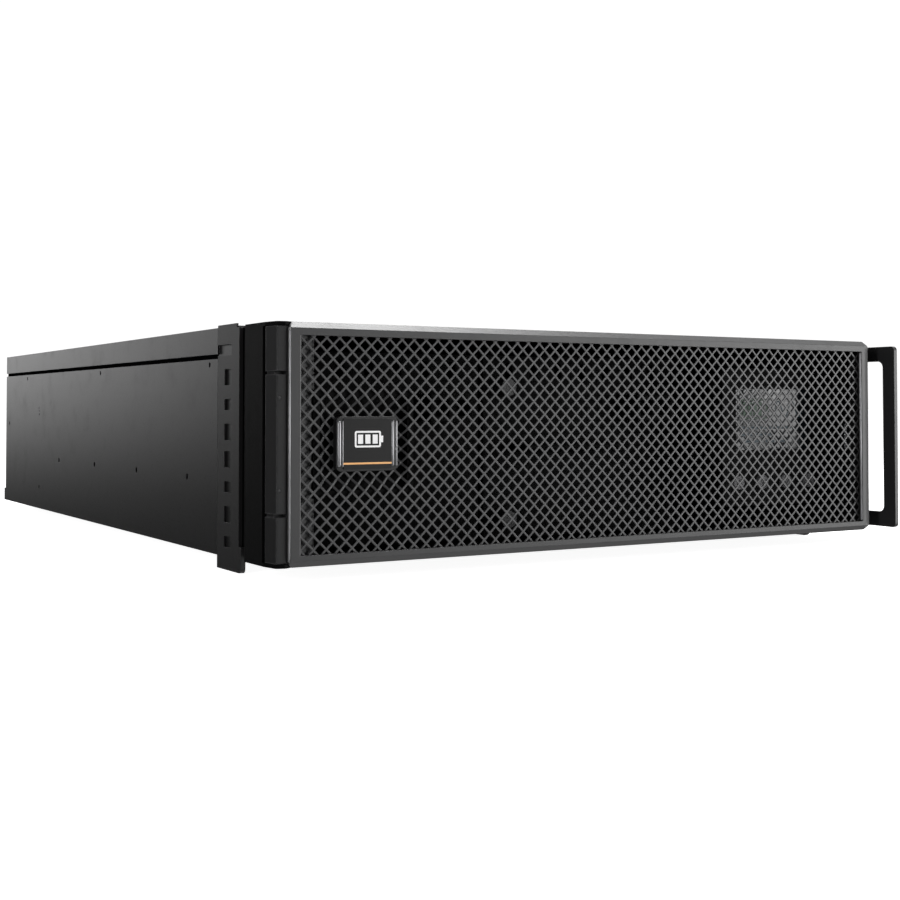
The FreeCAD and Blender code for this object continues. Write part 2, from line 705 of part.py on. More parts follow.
def battery_blocks(x0):
    """Sealed lead-acid blocks in a row, each with a lid step and two terminal tabs."""
    blocks = []
    for i in range(BLOCKS_PER_TRAY):
        y0 = TRAY_Y0 + 2.2 + i * BLOCK_PITCH
        x = x0 + (TRAY_W - BLOCK_W) / 2
        z = TRAY_Z + 1.0
        case = rounded(box(x, x + BLOCK_W, y0, y0 + BLOCK_D, z, z + BLOCK_H - 3), 2.5, Z_AXIS)
        lid = box(x + 1, x + BLOCK_W - 1, y0 + 1, y0 + BLOCK_D - 1, z + BLOCK_H - 3, z + BLOCK_H)
        tabs = [
            box(x + d - 3, x + d + 3, y0 + 9, y0 + 10, z + BLOCK_H, z + BLOCK_H + 6)
            for d in (14, BLOCK_W - 14)
        ]
        blocks.append(fuse(case, lid, *tabs))
    return blocks


def battery_links():
    """Short straps that join the blocks of each tray in series."""
    links = []
    for x0 in TRAY_X:
        for i in range(BLOCKS_PER_TRAY - 1):
            d = 14 if i % 2 else BLOCK_W - 14
            x = x0 + (TRAY_W - BLOCK_W) / 2 + d
            y0 = TRAY_Y0 + 2.2 + i * BLOCK_PITCH + 10.1
            z = TRAY_Z + 1.0 + BLOCK_H + 3.0
            links.append(box(x - 2.5, x + 2.5, y0, y0 + BLOCK_PITCH - 1.3, z, z + 1.2))
    return group(links)


def battery_plugs():
    """The two-pole battery connector in each tray's front."""
    plugs = []
    for x0 in TRAY_X:
        x1 = x0 + TRAY_W
        body = box(x1 - 43.5, x1 - 12.5, TRAY_Y0 - 16, TRAY_Y0 + 1.9, 76.5, 93.5)
        poles = [
            box(x1 - d - 5, x1 - d + 5, TRAY_Y0 - 17, TRAY_Y0 - 8, 80, 90) for d in (20.5, 35.5)
        ]
        plugs.append(cut(body, *poles))
    return group(plugs)


def tray_pulls():
    """A fixed round-bar pull on each tray front."""
    pulls = []
    for x0 in TRAY_X:
        cx = x0 + PULL_X
        front = TRAY_Y0 - PULL_REACH
        sides = ((cx - PULL_HALF, TRAY_Y0), (cx - PULL_HALF, front), (cx + PULL_HALF, front),
                 (cx + PULL_HALF, TRAY_Y0))
        pulls.append(tube_along([(x, y, PULL_Z) for x, y in sides], PULL_R))
    return group(pulls)


def tray_thumbscrews():
    """Knurled captive screws that hold each tray front to the divider and the bay edge."""
    screws = []
    for x0 in TRAY_X:
        for z in THUMB_Z:
            start = (x0 + THUMB_X, TRAY_Y0, z)
            screws.append(pan_screw(5.5, 9.0, 2.0, start, Y_AXIS, 0.9))
    return group(screws)


def bay_divider():
    """Upright sheet between the battery bay and the cooling duct on its right."""
    x = TRAY_X[1] + TRAY_W + 2.0
    return box(x, x + SHEET, BAY_Y0 + 1, BULKHEAD_Y - 0.3, FLOOR_Z + SHEET, ROOF_Z - SHEET)


def mid_bulkhead():
    """Cross wall behind the battery bay, with a row of air slots and a cable hole."""
    w = CHASSIS_HALF - 3 * SHEET - 0.4
    z0 = FLOOR_Z + SHEET
    z1 = ROOF_Z - SHEET
    wall = box(-w, w, BULKHEAD_Y, BULKHEAD_Y + SHEET, z0, z1)
    slots = []
    for i in range(AIR_SLOT_COUNT):
        x = AIR_SLOT_X0 + i * AIR_SLOT_PITCH
        for low, high in AIR_SLOTS_Z:
            slots.append(box(x, x + AIR_SLOT_W, BULKHEAD_Y - 1, BULKHEAD_Y + 3, low, high))
    hole = rod(CABLE_HOLE_R, (LEAD_X, BULKHEAD_Y - 1, LEAD_Z), Y_AXIS, 4)
    return cut(wall, hole, *slots)


# Control panel
def control_panel():
    plate = plate_y(PANEL_X0, PANEL_X1, PANEL_Y, PANEL_Y + PANEL_T, PANEL_Z0, PANEL_Z1, 4.0)
    back = box(PANEL_X0 + 3, PANEL_X1 - 3, PANEL_Y + PANEL_T, PANEL_Y + 16, PANEL_Z0 + 3, PANEL_Z1 - 3)
    hollow = box(PANEL_X0 + 5, PANEL_X1 - 5, PANEL_Y + PANEL_T, PANEL_Y + 17,
                 PANEL_Z0 + 5, PANEL_Z1 - 5)
    arm = box(PANEL_X1 - 3, NECK_HALF - HOUSING_WALL, PANEL_Y + 4, PANEL_Y + 7, 40, 90)
    view = box(PANEL_X0 + 12, PANEL_X1 - 12, PANEL_Y - 1, PANEL_Y + 5, 56, 98)
    holes = [rod(BUTTON_R + 0.1, (x, PANEL_Y - 1, BUTTON_Z), Y_AXIS, 6) for x in BUTTONS.values()]
    return cut(fuse(plate, cut(back, hollow), arm), view, *holes)


def display_screen():
    """The status display: a glass block that fills the panel's window."""
    return box(PANEL_X0 + 12.1, PANEL_X1 - 12.1, PANEL_Y + 0.6, PANEL_Y + 4, 56.1, 97.9)


def panel_button(x):
    """A round key with a flange that keeps it in the panel."""
    cap = rod(BUTTON_R, (x, PANEL_Y - BUTTON_PROUD, BUTTON_Z), Y_AXIS, BUTTON_PROUD + PANEL_T + 0.2)
    cap = cap.makeFillet(0.8, [min(cap.Edges, key=lambda e: e.CenterOfMass.y)])
    flange = rod(BUTTON_R + 1.5, (x, PANEL_Y + PANEL_T + 0.1, BUTTON_Z), Y_AXIS, 1.2)
    return fuse(cap, flange)


# Rear panel and what it carries
def breaker_hole(x, z):
    return box(x - BREAKER_W / 2, x + BREAKER_W / 2, REAR_Y0 - 1, REAR_Y1 + 1,
               z - BREAKER_H / 2, z + BREAKER_H / 2)


def socket_hole(place, size):
    w = size[0] / 2 - 2.0
    h = size[1] / 2 - 2.0
    return box(place[0] - w, place[0] + w, REAR_Y0 - 1, REAR_Y1 + 1, place[1] - h, place[1] + h)


def fan_screw_places():
    signs = (-1, 1)
    return [(x + i * FAN_HOLE, FAN_Z + j * FAN_HOLE)
            for x in FANS.values() for i in signs for j in signs]


def rear_panel():
    """The rear wall, inset in the chassis end, with a cut-out for each fitting."""
    w = CHASSIS_HALF - 3 * SHEET - 0.2
    plate = box(-w, w, REAR_Y0, REAR_Y1, FLOOR_Z + SHEET, ROOF_Z - SHEET)
    tools = [rod(FAN_BORE_R, (x, REAR_Y0 - 1, FAN_Z), Y_AXIS, 4) for x in FANS.values()]
    tools += [rod(FAN_HOLE_R, (x, REAR_Y0 - 1, z), Y_AXIS, 4) for x, z in fan_screw_places()]
    tools += [breaker_hole(x, z) for x, z in BREAKERS.values()]
    tools += [socket_hole(place, C13_SIZE) for place in C13_PLACES]
    tools += [socket_hole(place, C19_SIZE) for place in C19_PLACES]
    tools.append(box(PORTS_X[0] + 3, PORTS_X[1] - 3, REAR_Y0 - 1, REAR_Y1 + 1,
                     PORTS_Z[0] + 3, PORTS_Z[1] - 3))
    tools.append(box(SLOT_X[0] + 4, SLOT_X[1] - 4, REAR_Y0 - 1, REAR_Y1 + 1,
                     SLOT_Z[0] + 4, SLOT_Z[1] - 4))
    tools.append(rod(2.5, (STUD_PLACE[0], REAR_Y0 - 1, STUD_PLACE[1]), Y_AXIS, 4))
    return cut(plate, *tools)


def fan_frame(x):
    """A square axial fan frame with a hub plate on three arms at its front."""
    half = FAN_SIDE / 2
    y0 = REAR_Y0 - FAN_DEPTH
    frame = plate_y(x - half, x + half, y0, REAR_Y0, FAN_Z - half, FAN_Z + half, 3.0)
    bore = rod(FAN_BORE_R, (x, y0 - 1, FAN_Z), Y_AXIS, FAN_DEPTH + 2)
    hub = rod(FAN_HUB_R, (x, y0, FAN_Z), Y_AXIS, 3.0)
    arms = []
    for i in range(3):
        arm = box(x + FAN_HUB_R - 1, x + FAN_BORE_R + 1, y0, y0 + 3, FAN_Z - 2, FAN_Z + 2)
        arm.rotate(V(x, 0, FAN_Z), Y_AXIS, 120 * i + 30)
        arms.append(arm)
    shaft = rod(FAN_SHAFT_R + FIT, (x, y0 - 1, FAN_Z), Y_AXIS, 6)
    holes = [rod(FAN_HOLE_R, (x + i * FAN_HOLE, y0 - 1, FAN_Z + j * FAN_HOLE), Y_AXIS, FAN_DEPTH + 2)
             for i in (-1, 1) for j in (-1, 1)]
    return cut(fuse(cut(frame, bore), hub, *arms), shaft, *holes)


def fan_rotor(x):
    """Hub cup with tilted blades and the short shaft that runs in the frame."""
    y0 = REAR_Y0 - FAN_DEPTH + 4.0
    hub = rod(FAN_HUB_R, (x, y0, FAN_Z), Y_AXIS, 18.0)
    shaft = rod(FAN_SHAFT_R, (x, y0 - 3.5, FAN_Z), Y_AXIS, 5.0)
    blades = []
    for i in range(FAN_BLADES):
        blade = box(x + FAN_HUB_R - 1.5, x + FAN_BORE_R - 1.5, y0 + 8.4, y0 + 9.6,
                    FAN_Z - 12, FAN_Z + 12)
        blade.rotate(V(x, y0 + 9, FAN_Z), X_AXIS, 38)
        blade.rotate(V(x, 0, FAN_Z), Y_AXIS, 360 * i / FAN_BLADES)
        blades.append(blade)
    room = rod(FAN_BORE_R - 1.0, (x, y0, FAN_Z), Y_AXIS, 18.0)
    return fuse(hub, shaft, *[blade.common(room) for blade in blades])


def fan_guard(x):
    """A stamped finger guard: flat rings on a cross with four fixing ears."""
    y0 = REAR_Y1
    rings = []
    for r in GUARD_RINGS:
        ring = rod(r + 1.0, (x, y0, FAN_Z), Y_AXIS, 1.2)
        rings.append(cut(ring, rod(r - 1.0, (x, y0 - 1, FAN_Z), Y_AXIS, 4)))
    bars = []
    for angle in (45, 135):
        bar = box(x - 53.5, x + 53.5, y0, y0 + 1.2, FAN_Z - 1.6, FAN_Z + 1.6)
        bar.rotate(V(x, 0, FAN_Z), Y_AXIS, angle)
        bars.append(bar)
    ears = [rod(4.2, (x + i * FAN_HOLE, y0, FAN_Z + j * FAN_HOLE), Y_AXIS, 1.2)
            for i in (-1, 1) for j in (-1, 1)]
    holes = [rod(FAN_HOLE_R, (x + i * FAN_HOLE, y0 - 1, FAN_Z + j * FAN_HOLE), Y_AXIS, 4)
             for i in (-1, 1) for j in (-1, 1)]
    return cut(fuse(*(rings + bars + ears)), *holes)


def fan_screws():
    return [
        pan_screw(3.4, 1.6, 1.9, (x, REAR_Y1 + 1.2, z), V(0, -1, 0), 14.0)
        for x, z in fan_screw_places()
    ]


def breaker_body(x, z):
    """A two-pole breaker with a round well for its toggle drum."""
    w = BREAKER_W / 2 - 0.1
    h = BREAKER_H / 2 - 0.1
    body = box(x - w, x + w, REAR_Y1 - BREAKER_DEPTH, REAR_Y1 + 1.2, z - h, z + h)
    bezel = plate_y(x - w - 2, x + w + 2, REAR_Y1, REAR_Y1 + 2.0, z - h - 2, z + h + 2, 2.0)
    well = rod(DRUM_R + 0.4, (x - 5.4, REAR_Y1 - 4, z), X_AXIS, 10.8)
    slot = box(x - 5.4, x + 5.4, REAR_Y1 - 4, REAR_Y1 + 3, z - DRUM_R - 0.4, z + DRUM_R + 0.4)
    axle = rod(1.6 + FIT, (x - 8.0, REAR_Y1 - 4, z), X_AXIS, 16.0)
    return cut(fuse(body, bezel), well, slot, axle)


def breaker_toggle(x, z):
    """Drum, axle stubs and lever; the lever rests tilted up, in its on place."""
    y = REAR_Y1 - 4
    drum = rod(DRUM_R, (x - 5.0, y, z), X_AXIS, 10.0)
    axle = rod(1.6, (x - 7.6, y, z), X_AXIS, 15.2)
    lever = rounded(box(x - 4.4, x + 4.4, y + 4, y + 17, z - 2.6, z + 2.6), 1.2, X_AXIS)
    lever.rotate(V(x, y, z), X_AXIS, TOGGLE_TILT)
    return fuse(drum, axle, lever)


def socket(place, size, slot_w, slot_h):
    """A recessed mains outlet: bezel, well, centre island and three contact slots."""
    cx, cz = place
    w = size[0] / 2
    h = size[1] / 2
    bezel = plate_y(cx - w, cx + w, REAR_Y1, REAR_Y1 + 3.0, cz - h, cz + h, 2.5)
    body = box(cx - w + 2.1, cx + w - 2.1, REAR_Y1 - 24, REAR_Y1 + 1, cz - h + 2.1, cz + h - 2.1)
    a = w - 3.4
    b = h - 3.4
    well = plate_y(cx - a, cx + a, REAR_Y1 - 14, REAR_Y1 + 4, cz - b, cz + b, 2.0)
    a = w - 6.4
    b = h - 6.4
    island = plate_y(cx - a, cx + a, REAR_Y1 - 14.5, REAR_Y1 + 2, cz - b, cz + b, 1.4)
    slots = []
    for dx, dz in ((-5.5, -1.6), (5.5, -1.6), (0.0, 2.4)):
        slots.append(box(cx + dx - slot_w / 2, cx + dx + slot_w / 2, REAR_Y1 - 12, REAR_Y1 + 3,
                         cz + dz - slot_h / 2, cz + dz + slot_h / 2))
    return cut(fuse(cut(fuse(bezel, body), well), island), *slots)


def outlet_sockets():
    small = [socket(place, C13_SIZE, 2.2, 4.6) for place in C13_PLACES]
    large = [socket(place, C19_SIZE, 4.6, 2.2) for place in C19_PLACES]
    return group(small + large)


def terminal_cover():
    """The box over the mains terminals, with two round cable knock-outs in its lower face."""
    x0, x1 = TERMINAL_X
    z0, z1 = TERMINAL_Z
    shell = plate_y(x0, x1, REAR_Y1, TERMINAL_REAR, z0, z1, 3.0)
    hollow = box(x0 + 1.5, x1 - 1.5, REAR_Y1 - 1, TERMINAL_REAR - 1.5, z0 + 1.5, z1 - 1.5)
    outs = [rod(8.0, (x, REAR_Y1 + 10.5, z0 - 1), Z_AXIS, 4) for x in (x0 + 26, x1 - 26)]
    screws = [rod(1.6, (x, TERMINAL_REAR - 3, 50), Y_AXIS, 5) for x in (x0 + 7, x1 - 7)]
    return cut(shell, hollow, *(outs + screws))


def terminal_block():
    """Barrier block under the cover: five bays, each with a screw well."""
    x0 = TERMINAL_X[0] + 8
    block = box(x0, x0 + 75, REAR_Y1, REAR_Y1 + 16, 20, 44)
    bays = [box(x0 + 2 + i * 15, x0 + 13 + i * 15, REAR_Y1 + 8, REAR_Y1 + 17, 19, 45) for i in range(5)]
    wells = [rod(1.8, (x0 + 7.5 + i * 15, REAR_Y1, 32), Y_AXIS, 9) for i in range(5)]
    return cut(block, *(bays + wells))


def terminal_screws():
    x0 = TERMINAL_X[0] + 8
    clamps = [pan_screw(4.0, 2.0, 1.8, (x0 + 7.5 + i * 15, REAR_Y1 + 8, 32), V(0, -1, 0), 7.0)
              for i in range(5)]
    return clamps


def cover_fixings():
    x0, x1 = TERMINAL_X
    return [pan_screw(3.2, TERMINAL_HEAD, 1.6, (x, TERMINAL_REAR, 50), V(0, -1, 0), 4.0)
            for x in (x0 + 7, x1 - 7)]


def port_panel():
    """Plate of data ports: two square network sockets, one narrow one and a wide serial one."""
    x0, x1 = PORTS_X
    z0, z1 = PORTS_Z
    plate = plate_y(x0, x1, REAR_Y1, REAR_Y1 + 1.0, z0, z1, 1.5)
    body = box(x0 + 3.1, x1 - 3.1, REAR_Y1 - 16, REAR_Y1 + 0.5, z0 + 3.1, z1 - 3.1)
    wells = [
        box(x0 + 8, x0 + 20, REAR_Y1 - 12, REAR_Y1 + 2, z0 + 6, z0 + 14),
        box(x0 + 8, x0 + 20, REAR_Y1 - 12, REAR_Y1 + 2, z0 + 18, z0 + 26),
        box(x0 + 27, x0 + 31, REAR_Y1 - 10, REAR_Y1 + 2, z0 + 9, z0 + 22),
        box(x0 + 38, x0 + 76, REAR_Y1 - 8, REAR_Y1 + 2, z0 + 6, z0 + 13),
        box(x0 + 40, x0 + 60, REAR_Y1 - 8, REAR_Y1 + 2, z0 + 18, z0 + 26),
    ]
    return cut(fuse(plate, body), *wells)


def slot_cover():
    """Blank over the communication card slot, with an inset ridge."""
    x0, x1 = SLOT_X
    z0, z1 = SLOT_Z
    plate = plate_y(x0, x1, REAR_Y1, REAR_Y1 + 1.6, z0, z1, 2.0)
    inner = box(x0 + 4.2, x1 - 4.2, REAR_Y1 - 6, REAR_Y1 + 0.5, z0 + 4.2, z1 - 4.2)
    relief = box(x0 + 6, x1 - 6, REAR_Y1 - 7, REAR_Y1 - 1, z0 + 6, z1 - 6)
    holes = [rod(1.6, (x, REAR_Y1 - 1, (z0 + z1) / 2), Y_AXIS, 4) for x in (x0 + 2.1, x1 - 2.1)]
    return cut(fuse(plate, cut(inner, relief)), *holes)


def slot_thumbscrews():
    z = sum(SLOT_Z) / 2
    return [pan_screw(3.6, 6.0, 1.6, (x, REAR_Y1 + 1.6, z), V(0, -1, 0), 1.5)
            for x in (SLOT_X[0] + 2.1, SLOT_X[1] - 2.1)]


def rear_screws():
    """Fan screws, terminal clamps, cover screws and the card slot's thumbscrews."""
    return group(fan_screws() + terminal_screws() + cover_fixings() + slot_thumbscrews())


def ground_stud():
    """Earth stud with its nut and washer."""
    x, z = STUD_PLACE
    shank = rod(2.5, (x, REAR_Y0 - 6, z), Y_AXIS, 22.0)
    washer = rod(6.0, (x, REAR_Y1, z), Y_AXIS, 1.2)
    ring = [V(x + 4.6 * math.cos(a), REAR_Y1 + 1.2, z + 4.6 * math.sin(a))
            for a in [math.radians(60 * i) for i in range(6)]]
    nut = Part.Face(Part.makePolygon(ring + ring[:1])).extrude(V(0, 4.0, 0))
    inner = rod(5.5, (x, REAR_Y0 - 3.0, z), Y_AXIS, 3.0)
    return fuse(shank, washer, nut, inner)


# Power electronics
def power_board():
    x0, x1, y0, y1 = BOARD
    return box(x0, x1, y0, y1, BOARD_Z, BOARD_Z + BOARD_T)


def board_posts():
    """Standoffs of the power board and the control board."""
    x0, x1, y0, y1 = BOARD
    posts = [
        rod(BOARD_POST_R, (x, y, FLOOR_Z + SHEET), Z_AXIS, BOARD_Z - FLOOR_Z - SHEET)
        for x in (x0 + 8, (x0 + x1) / 2, x1 - 8)
        for y in (y0 + 8, y1 - 8)
    ]
    return group(posts + control_posts())


def heatsink(x0, y0, y1):
    """Extruded fin block, its fins along the air flow."""
    z0 = BOARD_Z + BOARD_T + GAP
    base = box(x0, x0 + SINK_W, y0, y1, z0, z0 + SINK_BASE)
    places = [x0 + i * FIN_PITCH for i in range(FIN_COUNT)]
    fins = [box(x, x + FIN_T, y0, y1, z0 + SINK_BASE - 1, z0 + SINK_H) for x in places]
    return fuse(base, *fins)


def bus_capacitors():
    """Six upright cans with rounded tops."""
    z0 = BOARD_Z + BOARD_T
    cans = []
    for i in range(2):
        for j in range(3):
            place = (CAN_AT[0] + CAN_PITCH * i, CAN_AT[1] + CAN_PITCH * j, z0)
            can = rod(CAN_R, place, Z_AXIS, CAN_H)
            cans.append(can.makeFillet(1.5, [max(can.Edges, key=lambda e: e.CenterOfMass.z)]))
    return group(cans)


def chokes():
    """Wound ring cores lying on the board."""
    z = BOARD_Z + BOARD_T + CHOKE_WIRE_R + 0.2
    return group(
        Part.makeTorus(CHOKE_R, CHOKE_WIRE_R, V(CHOKE_X, y, z), Z_AXIS) for y in CHOKES_Y
    )


def transformer():
    z0 = BOARD_Z + BOARD_T
    core = rounded(box(*CORE[:4], z0, z0 + CORE[4]), 2.0, Z_AXIS)
    coil = rounded(box(*COIL[:4], z0 + COIL[4], z0 + COIL[5]), 5.0, Z_AXIS)
    return fuse(core, coil)


def control_board():
    """Logic board lying on its own posts beside the power board."""
    return box(*CONTROL, CONTROL_Z, CONTROL_Z + BOARD_T)


def control_posts():
    x0, x1, y0, y1 = CONTROL
    return [
        rod(CONTROL_POST_R, (x, y, FLOOR_Z + SHEET), Z_AXIS, CONTROL_Z - FLOOR_Z - SHEET)
        for x in (x0 + 6, x1 - 6)
        for y in (y0 + 6, y1 - 6)
    ]


def tube_along(points, radius):
    """A round cable through points, with ball corners."""
    pieces = []
    for a, b in zip(points, points[1:]):
        run = V(*b) - V(*a)
        pieces.append(Part.makeCylinder(radius, run.Length, V(*a), run))
    for p in points[1:-1]:
        pieces.append(Part.makeSphere(radius, V(*p)))
    return fuse(*pieces)


def battery_leads():
    """Two leads from the battery bay through the bulkhead to the power board."""
    y0, y1 = LEAD_Y
    leads = []
    for rise in (LEAD_APART, -LEAD_APART):
        z = LEAD_Z + rise
        leads.append(tube_along([(LEAD_X, y0, z), (LEAD_X, y1 + rise, z)], LEAD_R))
    return group(leads)


def parts():
    """Every node of the assembly, by name."""
    left_post = front_post()
    made = {
        "door_frame": door_frame(),
        "door_mesh": door_mesh(),
        "badge_recess": badge_recess(),
        "badge_body": badge_body(),
        "badge_clip": badge_clip(),
        "badge_face": badge_face(),
        "badge_stripe": badge_stripe(),
        "badge_symbol": badge_symbol(),
        "hinge_rail": hinge_rail(),
        "rail_screws": rail_screws(),
        "grip_cover": grip_cover(),
        "hinge_pin": hinge_pin(),
        "door_striker": door_striker(),
        "door_magnet": door_magnet(),
        "front_housing": front_housing(),
        "rack_handle": rack_handle(),
        "chassis_tray": chassis_tray(),
        "top_cover": top_cover(),
        "seam_gasket": seam_gasket(),
        "chassis_screws": chassis_screws(),
        "front_post_left": left_post,
        "front_post_right": mirrored(left_post),
        "rubber_feet": rubber_feet(),
        "rear_panel": rear_panel(),
        "mid_bulkhead": mid_bulkhead(),
        "bay_divider": bay_divider(),
        "battery_trays": group(battery_tray(x0) for x0 in TRAY_X),
        "battery_blocks": group(block for x0 in TRAY_X for block in battery_blocks(x0)),
        "battery_links": battery_links(),
        "battery_plugs": battery_plugs(),
        "tray_pulls": tray_pulls(),
        "tray_thumbscrews": tray_thumbscrews(),
        "control_panel": control_panel(),
        "display_screen": display_screen(),
        "fan_frames": group(fan_frame(x) for x in FANS.values()),
        "fan_guards": group(fan_guard(x) for x in FANS.values()),
        "breaker_bodies": group(breaker_body(x, z) for x, z in BREAKERS.values()),
        "outlet_sockets": outlet_sockets(),
        "terminal_cover": terminal_cover(),
        "terminal_block": terminal_block(),
        "rear_screws": rear_screws(),
        "port_panel": port_panel(),
        "slot_cover": slot_cover(),
        "ground_stud": ground_stud(),
        "power_board": power_board(),
        "heatsinks": group(heatsink(*place) for place in SINKS),
        "bus_capacitors": bus_capacitors(),
        "chokes": chokes(),
        "transformer": transformer(),
        "control_board": control_board(),
        "board_posts": board_posts(),
        "battery_leads": battery_leads(),
    }
    for name, x in BUTTONS.items():
        made[name] = panel_button(x)
    for name, x in FANS.items():
        made[name] = fan_rotor(x)
    for name, (x, z) in BREAKERS.items():
        made[name + "_toggle"] = breaker_toggle(x, z)
    return made


def main():
    os.makedirs("parts", exist_ok=True)
    for name, shape in parts().items():
        shape.translated(ORIGIN * -1).exportStep(os.path.join("parts", name + ".step"))


main()
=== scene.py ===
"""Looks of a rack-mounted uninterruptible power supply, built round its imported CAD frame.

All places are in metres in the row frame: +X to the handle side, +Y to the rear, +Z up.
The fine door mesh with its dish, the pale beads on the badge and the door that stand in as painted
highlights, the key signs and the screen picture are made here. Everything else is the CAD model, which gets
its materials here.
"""

import json
import math

import bmesh
import bpy
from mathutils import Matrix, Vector


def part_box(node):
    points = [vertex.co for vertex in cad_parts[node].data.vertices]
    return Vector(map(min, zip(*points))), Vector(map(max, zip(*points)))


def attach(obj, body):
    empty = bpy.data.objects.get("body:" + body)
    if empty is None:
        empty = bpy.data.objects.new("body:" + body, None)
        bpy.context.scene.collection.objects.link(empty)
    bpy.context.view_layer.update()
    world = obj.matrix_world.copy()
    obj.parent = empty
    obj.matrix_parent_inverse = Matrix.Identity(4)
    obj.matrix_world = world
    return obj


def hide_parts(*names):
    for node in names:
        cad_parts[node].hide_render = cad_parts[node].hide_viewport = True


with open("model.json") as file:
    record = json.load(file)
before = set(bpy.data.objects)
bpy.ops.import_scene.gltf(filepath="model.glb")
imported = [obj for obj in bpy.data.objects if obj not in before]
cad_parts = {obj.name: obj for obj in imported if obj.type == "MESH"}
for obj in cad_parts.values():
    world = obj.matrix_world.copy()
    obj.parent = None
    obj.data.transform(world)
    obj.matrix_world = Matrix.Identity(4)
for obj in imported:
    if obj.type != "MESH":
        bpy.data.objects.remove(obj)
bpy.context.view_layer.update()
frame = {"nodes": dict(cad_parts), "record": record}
NODES = frame["nodes"]
MM = 0.001

# Door mesh: strand crossings on two interleaved grids
MESH_PITCH_X = 7.749 * MM
MESH_PITCH_Z = 7.64 * MM
MESH_STRAND = 1.3 * MM  # width of a strand, square to its run
MESH_THICK = 0.8 * MM
MESH_EDGE = 0.22 * MM  # soft edge of each strand
MESH_EDGE_ANGLE_DEG = 50
MESH_ROWS = 33
MESH_TOP_DROP = 0.61 * MM  # from the sheet's upper edge to the first row of crossings
MESH_PHASE_X = 1.054 * MM  # the pattern is cut off-centre from a longer sheet
MESH_COLUMNS = (-56, 55)
MESH_BORDER = 1.6 * MM  # plain margin, behind the door's lip
MESH_BORDER_LIFT = 0.05 * MM

# Dish round the badge
DISH_SHIFT = (-0.8 * MM, 0.55 * MM)  # from the badge's centre
DISH_OUTER = (26.8 * MM, 25.2 * MM)
DISH_SLOPE = 5.0 * MM
DISH_DEPTH = 2.3 * MM  # its floor clears the back of the badge, which turns in front of it
DISH_HOLE = (12.0 * MM, 9.0 * MM)

# Beads beside the badge's insert, painted highlights along its ribs: (distance from the badge's middle,
# radius)
RIB_BEADS = ((-17.4 * MM, 1.15 * MM), (-15.2 * MM, 0.45 * MM), (15.6 * MM, 0.8 * MM), (17.9 * MM, 0.6 * MM))
BEAD_HALF_H = 12.6 * MM
BEAD_SINK = 0.35 * MM  # behind the ribs' fronts
BEAD_SIDES = 16
DOME_TURNS = (20.0, 50.0, 90.0)  # degrees from a dome's pole

# Beads on the door, painted highlights: one at its left front edge, and one at the right edge of its
# opening
OPENING_HALF = 212.8 * MM
OPENING_Z = (6.3 * MM, 124.0 * MM)  # above the door's lower edge
OPENING_BEAD = 0.75 * MM
EDGE_BEAD = 0.6 * MM
EDGE_BEAD_END = 4.5 * MM  # clear of the door's chamfers

# Stage: floor, room and softboxes (name, place, aim, size, radiance)
FLOOR_HALF = 40.0
FLOOR_GLOW = 0.93
HORIZON = (-0.052, 0.04)  # the room fades in between these heights of a direction
ROOM_BACK = (-0.41, -0.18, 0.12, 1.95)  # from these sideways directions, to these strengths
ROOM_FRONT = (0.13, 0.9, 0.0, 5.6)
FRONT_HORIZON = (-0.35, -0.02)
ROOM_FRONT_TOP = (0.07, 0.22, 1.0, 0.08)
ROOM_BACK_TOP = (0.12, 0.4, 1.0, 0.15)  # the back of the room darkens between these heights
ROOM_BACK_DEPTH = (0.0, 0.5)
ROOM_FRONT_DEPTH = (-0.2, 0.2, 1.0, 0.0)
ROOM_SIDE = 0.06
ROOM_UNDER = (-0.25, -0.85, 0.03, 0.8)
BACKDROP = 1.05
SOFTBOXES = (
    ("overhead", (0.38, -0.24, 1.5), (0.0, -0.3, 0.1), (0.9, 0.6), 15.0),
    ("overhead_right", (1.35, -0.24, 1.45), (0.2, -0.3, 0.1), (1.0, 0.8), 1.4),
    ("left_strip", (-1.5, -0.9, 0.3), (-0.22, -0.33, 0.1), (0.22, 1.0), 15.0),
    ("right_front", (1.4, -1.6, 0.5), (0.1, -0.3, 0.1), (0.8, 0.8), 2.0),
)

# Prints on the control panel
PRINT_THICK = 0.15 * MM
PRINT_LINE = 0.8 * MM
BATTERY_X = (0.08, 0.42)  # shares of the screen's width, as all of these are of width or height
BATTERY_Z = (0.52, 0.82)
BATTERY_KNOB_IN = 0.1
BATTERY_CELLS = 5
BATTERY_FULL = 4
CELL_START, CELL_WIDE = 0.35, 0.7
WAVE_STEPS = 40
WAVE_X, WAVE_WIDE = 0.54, 0.38
WAVE_Z, WAVE_HIGH = 0.67, 0.13
WAVE_TURNS = 2
DASH_X = 0.08
DASH_Z, DASH_STEP = 0.36, 0.11
DASH_HALF, DASH_GAP = 0.02, 0.03
DASHES = ((0.22, 0.10, 0.30), (0.14, 0.26), (0.30, 0.12, 0.16))
KEY_SIGN = 5.0 * MM
KEY_LINE = 0.8 * MM

# Camera, at the angle of the reference view, measured from the door's lower front edge
CAMERA_FROM_DOOR = (-0.51053, -0.65316, 0.08550)
CAMERA_TURN_DEG = (91.684, 0.0, -30.831)
CAMERA_LENS_MM = 53.53
CAMERA_SENSOR_MM = 36.0
CAMERA_SHIFT_Y = -0.0915


